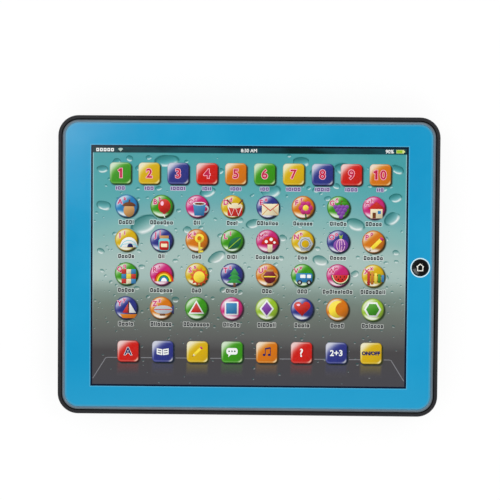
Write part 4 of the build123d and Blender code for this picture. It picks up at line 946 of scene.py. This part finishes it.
def label(p, x, y, count, marks, dark, pale=None):
    """A row of plain marks from x on, with a pale edge, where the real toy has a word.

    Without an x the row stands in the middle.
    """
    rng = random.Random(count * 7 + int(abs(p.x) * 3 + abs(p.y)))
    row = [marks[-1]] + [rng.choice(marks) for _ in range(count - 1)]
    if x is None:
        x = (MARK_GAP - sum(width + MARK_GAP for width, _ in row)) / 2
    places = []
    for width, height in row:
        places.append((x + width / 2, y - MARK_FOOT + height / 2, width, height))
        x += width + MARK_GAP
    if pale:
        grow = 2 * MARK_EDGE
        p.merge([rounded(mx, my, w + grow, h + grow, 0.6, 3) for mx, my, w, h in places], pale)
    shrink = 2 * MARK_STROKE
    for mx, my, width, height in places:
        hole = []
        if width > shrink:
            hole = [rounded(mx, my, width - shrink, height - shrink, 0.2, 2)[::-1]]
        p.flat(rounded(mx, my, width, height, 0.3, 3), dark, *hole)
        p.level -= LAYER
    p.level += LAYER


def figure_one(p, colour, grow, x=0.0):
    """The figure 1: an upright with a flag."""
    width, half = 1.15 + 2 * grow, 2.8 + grow
    p.line([(x + 0.4, half), (x + 0.4, -half)], width, colour)
    p.line([(x + 0.6, 2.5), (x - 1.2 - 0.7 * grow, 1.45 - 0.4 * grow)], 0.85 * width, colour)


def number_key(number, x):
    p = Print(f"number_key_{number}", x, NUMBER_Y)
    colour = NUMBER_COLOURS[number - 1]
    square_key(p, colour)
    for grow, tone in ((0.5, (255, 176, 192)), (0.12, (192, 24, 70))):
        if number == 1:
            figure_one(p, tone, grow)
        elif number == 10:
            figure_one(p, tone, grow, -2.9)
            p.write("0", FIGURE_SIZE, tone, grow, 1.9)
        else:
            p.write(str(number), FIGURE_SIZE, tone, grow)
    letters = WORD_LENGTHS[number - 1]
    label(p, None, CAPTION_Y, letters, CAPITAL_MARKS, (106, 74, 138), (188, 192, 214))
    p.make()


def picture_key(index, x, y):
    picture = PICTURES[index]
    p = Print(f"picture_key_{picture.__name__}", x, y)
    round_key(p, PICTURE_COLOURS[index])
    pale = mixed(wallpaper(x, y + LABEL_Y), WHITE, 0.55)
    label(p, None, LABEL_Y, len(picture.__name__), WORD_MARKS, (20, 26, 32), pale)
    if index < LETTERS:
        for grow, tone in ((0.34, ROSE), (0.08, CRIMSON)):
            p.write(chr(ord("A") + index), 4.4, tone, grow, -4.0, 2.7)
            p.write(chr(ord("a") + index), 3.5, tone, grow * 0.8, -1.0, 4.4)
        p.x += 1.7
        p.y -= 1.7
    p.scale = PICTURE_SCALE
    picture(p)
    p.make()


def note(p):
    for x in (-1.6, 1.6):
        p.line([(x + 0.7, -1.4), (x + 0.7, 2.6)], 0.45, NAVY)
        p.flat(circle(x, -1.6, 0.95, 0.75, steps=20), NAVY)
    p.line([(-0.95, 2.3), (2.5, 2.9)], 0.9, NAVY)


def book(p):
    p.flat([(-3.8, 2.0), (-0.2, 1.4), (-0.2, -2.4), (-3.8, -1.8)], WHITE)
    p.flat([(3.8, 2.0), (0.2, 1.4), (0.2, -2.4), (3.8, -1.8)], WHITE)
    for y in (0.7, -0.8):
        p.line([(-3.1, y + 0.1), (-0.9, y - 0.3)], 0.5, NAVY)
        p.line([(3.1, y + 0.1), (0.9, y - 0.3)], 0.5, NAVY)


def speech(p):
    p.flat(rounded(0, 0.5, 7.2, 4.2, 1.6), WHITE)
    p.flat([(-2.2, -1.4), (-0.4, -1.4), (-2.4, -3.2)], WHITE)
    for x in (-1.8, 0, 1.8):
        p.flat(circle(x, 0.5, 0.5, steps=16), DARK_GREEN)


def lettered(text, size, colour, edge=None, grow=0.16):
    """A drawing of plain letters or figures, with a pale edge where one is named."""

    def draw(p):
        if edge:
            p.write(text, size, edge, 0.4)
        p.write(text, size, colour, grow)

    return draw


MODES = [
    ("letters", RED, lettered("A", 6.6, NAVY, WHITE)),
    ("book", INDIGO, book),
    ("pencil", YELLOW, pencil),
    ("speech", GREEN, speech),
    ("tune", ORANGE, note),
    ("question", RED, lettered("?", 7.2, WHITE)),
    ("sum", INDIGO, lettered("2+3", 5.2, WHITE)),
    ("on_off", YELLOW, lettered("ON/OFF", 3.15, NAVY, None, 0.2)),
]


def mode_key(index, x):
    """A square key over its faint mirror image in the dock."""
    name, colour, draw = MODES[index]
    p = Print(f"mode_key_{name}", x, MODE_Y)
    half, tall, below = SQUARE_SIDE / 2, 8.8, SQUARE_SIDE / 2 + 4.6

    def mirrored(px, py):
        share = 0.34 * smooth(py, -4.2, 4.4) * smooth(abs(px), half + 0.6, half - 0.8)
        return mixed(wallpaper(x + px, MODE_Y - below + py), mixed(colour, GREY, 0.35), share)

    p.shade(rounded(0, 0, SQUARE_SIDE + 1.2, tall, 0.5), mirrored, 10, 0.0, -below)
    square_key(p, colour)
    draw(p)
    p.make()


# ---- wallpaper drops and small marks
DROP_FINENESS = ((5, (40, 12)), (2, (24, 7)), (0, (12, 4)))  # width from, points round and rings


def drop(p, x, y, width, height, turn):
    """A water drop: teal under its upper edge, paler lower down, with a bright lower edge."""
    a = radians(turn)
    deep = mixed(wallpaper(x, y), (2, 84, 82), 0.8)
    steps, rings = next(fine for least, fine in DROP_FINENESS if width > least)
    outline = []
    for px, py in circle(0, 0, 1, steps=steps):
        reach = 1 + 0.12 * sin(2.2 * px + 5 * x) + 0.1 * sin(3.1 * py + 7 * y)
        outline.append((px * reach * width / 2, py * reach * height / 2))

    def colour(px, py):
        u = (px * cos(a) + py * sin(a)) / (width / 2)
        v = (-px * sin(a) + py * cos(a)) / (height / 2)
        far = hypot(u, v)
        rise = v / max(far, 0.01)
        here = wallpaper(x + px, y + py)
        bright = 0.5 + 0.3 * smooth(y, -36, -14)
        tone = mixed(here, deep, 0.6 * smooth(v - 0.25 * u, -0.3, 0.8))
        tone = mixed(tone, WHITE, 0.5 * bright * smooth(0.25 * u - v, 0.0, 0.8))
        lower = smooth(0.3 * u - rise, 0.2, 0.9)
        tone = mixed(tone, WHITE, bright * lower * smooth(far, 0.45, 0.75))
        rim = smooth(far, 0.72, 0.88) * (1 - 0.75 * lower)
        tone = mixed(tone, deep, 0.85 * rim)
        return mixed(tone, here, smooth(far, 0.88, 1.0))

    p.shade(turned(outline, turn), colour, rings, x, y)
    p.level -= LAYER


def drops():
    """Large drops among the upper keys and fine ones lower down, none touching another."""
    rng = random.Random(41)
    p = Print("wallpaper_drops", 0, 0, FIRST_LAYER / 2)
    placed = []

    def try_drop(x, y, width, height, turn):
        reach = width / 2
        side = SCREEN_X - reach - 1.5
        if abs(x - SCREEN_RIGHT) > side or not reach - SCREEN_Y < y < STATUS_Y - height / 2:
            return
        if any(hypot(x - a, y - b) < reach + r + 0.3 for a, b, r in placed):
            return
        placed.append((x, y, reach))
        drop(p, x, y, width, height, turn)

    for x, y, width, height, turn in (
        (-52, 66.5, 17, 8.5, 4), (61, 62, 15, 8, -8), (-66, 26, 20, 12, 24), (14, 47.5, 14, 9, 12),
        (91, 31, 12, 8, 36), (-92, 38, 10, 7, -14), (94, 62, 9, 6, -24), (-26, 47, 11, 7, 18),
        (68, 27, 13, 8, -20), (-20, 5.5, 13, 7, 30), (33, 66.2, 12, 7, 0), (93, 44, 9, 6, 10),
        (-94, 8, 12, 6, 24), (46, 4, 11, 7, -14), (3, 27, 10, 6, 14), (-93, 61, 8, 5, 0),
    ):  # fmt: skip
        try_drop(x, y, width, height, turn)
    for _ in range(170):
        x, y = rng.uniform(-SCREEN_X, SCREEN_X), rng.uniform(-24, SCREEN_Y)
        width = rng.uniform(2.2, 6.0)
        try_drop(x, y, width, width * rng.uniform(0.55, 0.85), rng.uniform(-30, 30))
    for _ in range(560):
        x, y = rng.uniform(-SCREEN_X, SCREEN_X), rng.triangular(-SCREEN_Y, SCREEN_Y, -30)
        width = rng.uniform(0.7, 2.2)
        try_drop(x, y, width, width * rng.uniform(0.7, 1.0), rng.uniform(-30, 30))
    p.make()


def status_marks():
    """A row of plain marks, a signal fan, a clock's figures and a battery mark."""
    p = Print("status_marks", 0, (SCREEN_TOP + STATUS_Y) / 2 - 0.5)
    label(p, -96.9, -0.1, 5, CAPITAL_MARKS[:2], WHITE)
    fan = [(-81.4, -1.1)] + circle(-81.4, -1.1, 2.3, start=45, end=135, steps=8)
    p.flat(fan, (176, 198, 190))
    p.write("8:30 AM", 3.0, WHITE, 0.09)
    p.write("90%", 3.1, WHITE, 0.09, 89.0)
    p.line([(93.2, 0), (98.0, 0)], 2.2, (214, 226, 150))
    p.line([(98.0, 0), (98.7, 0)], 1.1, (214, 226, 150))
    p.line([(93.5, 0), (97.0, 0)], 1.6, (150, 196, 40))
    p.make()


def dock():
    """The thin pale line round the place where the lowest keys stand."""
    p = Print("dock_line", SCREEN_RIGHT, 0, FIRST_LAYER * 0.75)
    bends = ((11, 0), (9.6, 0.3), (1.4, 13.5))  # in from the picture's side, down from the line
    for side in (-1, 1):
        points = [(0, DOCK_LINE)]
        points += [(side * (SCREEN_X - inset), DOCK_LINE - drop) for inset, drop in bends]
        p.line(points, 0.5, lambda px, py: mixed(wallpaper(px, py), (176, 178, 184), 0.55))
        p.level -= LAYER
    p.make()


def home_marks():
    """A pale ring printed round the button, and a small house printed in the button's dish."""
    low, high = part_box("home_button")
    x, y = (low.x + high.x) / 2 / MM, (low.y + high.y) / 2 / MM
    ring = Print("home_ring", x, y)
    ring.flat(circle(0, 0, 6.22, steps=72), (214, 244, 255), circle(0, 0, 5.52, steps=72)[::-1])
    ring.make()
    mark = Print("home_mark", x, y)
    mark.scale = 1.02
    house = [(-1.6, -1.9), (1.6, -1.9), (1.6, 0.5), (2.1, 0.5), (0, 2.3), (-2.1, 0.5), (-1.6, 0.5)]
    half, step = 0.275, 0.35  # half the line's width, and its pieces, which follow the dish
    outlines = []
    for (ax, ay), (bx, by) in zip(house, house[1:] + house[:1]):
        count = max(2, int(hypot(bx - ax, by - ay) / step))
        dx, dy = (bx - ax) / count, (by - ay) / count
        side = half / hypot(dx, dy)
        for i in range(count):
            ends = ((i, -side), (i + 1, -side), (i + 1, side), (i, side))
            outlines.append([(ax + i * dx - s * dy, ay + i * dy + s * dx) for i, s in ends])
        outlines.append(circle(bx, by, half, steps=10))
    mark.merge(outlines, (246, 246, 236))
    mark.make("home_button", "home_button")


# ---- light, floor and camera
def floor():
    """A pale floor that glows a little. From below it is clear, so that the back can be looked at."""
    f = Finish("floor", Roughness=0.8)
    path = f.node("LightPath").outputs
    straight = f.math("MAXIMUM", path["Is Camera Ray"], path["Is Glossy Ray"])
    seen = f.math("MAXIMUM", straight, path["Is Transmission Ray"])
    f.set("Base Color", f.ramp(f.noise(8.0, 3.0), [(0.3, (246, 246, 246)), (0.7, (250, 250, 250))]))
    glow = f.node("Emission", {1: 1.03}).outputs[0]
    share = f.math("MULTIPLY", seen, 0.85)
    both = f.node("MixShader", {0: share, 1: f.shader.outputs[0], 2: glow}).outputs[0]
    under = f.node("NewGeometry").outputs["Backfacing"]
    clear = f.node("BsdfTransparent").outputs[0]
    surface = f.node("MixShader", {0: under, 1: both, 2: clear}).outputs[0]
    f.tree.links.new(surface, f.tree.nodes["Material Output"].inputs["Surface"])
    half, level = 4.0, -0.05 * MM
    corners = [(x * half, y * half, level) for x, y in ((-1, -1), (1, -1), (1, 1), (-1, 1))]
    plane = new_piece("floor", corners, [(0, 1, 2, 3)], f.material)
    plane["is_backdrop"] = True


def sky():
    """An even white sky, dim straight above, and plain white where the camera sees it."""
    world = bpy.data.worlds.new("sky")
    bpy.context.scene.world = world
    world.use_nodes = True
    nodes = Nodes(world.node_tree)
    path = nodes.node("LightPath").outputs
    place = nodes.node("TexCoord").outputs["Generated"]
    height = nodes.node("SeparateXYZ", {0: place}).outputs["Z"]
    dome = nodes.spread(height, 1.08, 0.12, 0.78, 0.93)
    seen = nodes.math("MAXIMUM", path["Is Camera Ray"], path["Is Transmission Ray"])
    level = nodes.node("Mix", {0: seen, 2: dome, 3: 1.0}).outputs[0]
    background = world.node_tree.nodes["Background"].inputs
    world.node_tree.links.new(level, background["Strength"])
    background["Color"].default_value = (1, 1, 1, 1)


def softboxes():
    """Three square lamps, at a level where the colours keep their value."""
    for name, place, width, radiance in (
        ("softbox_left", (-0.36, 0.26, 1.25), 0.32, 2.6),
        ("softbox_right", (0.62, 0.24, 1.2), 0.42, 3.2),
        ("softbox_front", (0.1, -1.1, 1.1), 0.9, 1.1),
    ):
        light = bpy.data.lights.new(name, "AREA")
        light.size = width
        light.energy = radiance * pi * width * width
        lamp = new_object(name, light)
        lamp.location = place
        lamp.rotation_euler = (-Vector(place)).to_track_quat("-Z", "Y").to_euler()


def camera():
    """The photograph's place: straight above, a little to the upper right."""
    data = bpy.data.cameras.new("camera")
    data.lens = 99.7344  # in millimetres, over a sensor 36 mm wide
    data.clip_start = 0.01
    eye = new_object("camera", data)
    eye.location = (14.12 * MM, 43.99 * MM, 900 * MM)
    eye.rotation_euler = (radians(-2.186), radians(0.863), radians(0.454))
    bpy.context.scene.camera = eye


camera()
floor()
sky()
softboxes()
dress_frame()
rubber_dome()
drops()
status_marks()
dock()
home_marks()
for number in range(1, NUMBERS + 1):
    number_key(number, KEYS_SHIFT + (number - (NUMBERS + 1) / 2) * NUMBER_PITCH)
for index in range(len(PICTURES)):
    row, column = divmod(index, COLUMNS)
    x = KEYS_SHIFT + (column - (COLUMNS - 1) / 2) * COLUMN_PITCH
    picture_key(index, x, PICTURE_Y - row * ROW_PITCH)
for index in range(len(MODES)):
    mode_key(index, MODE_SHIFT + (index - (len(MODES) - 1) / 2) * MODE_PITCH)

bpy.context.scene.view_settings.view_transform = "Standard"
boxes = {"cad": CAD_BOX, "visual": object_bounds()}
{name: [list(low), list(high)] for name, (low, high) in boxes.items()}
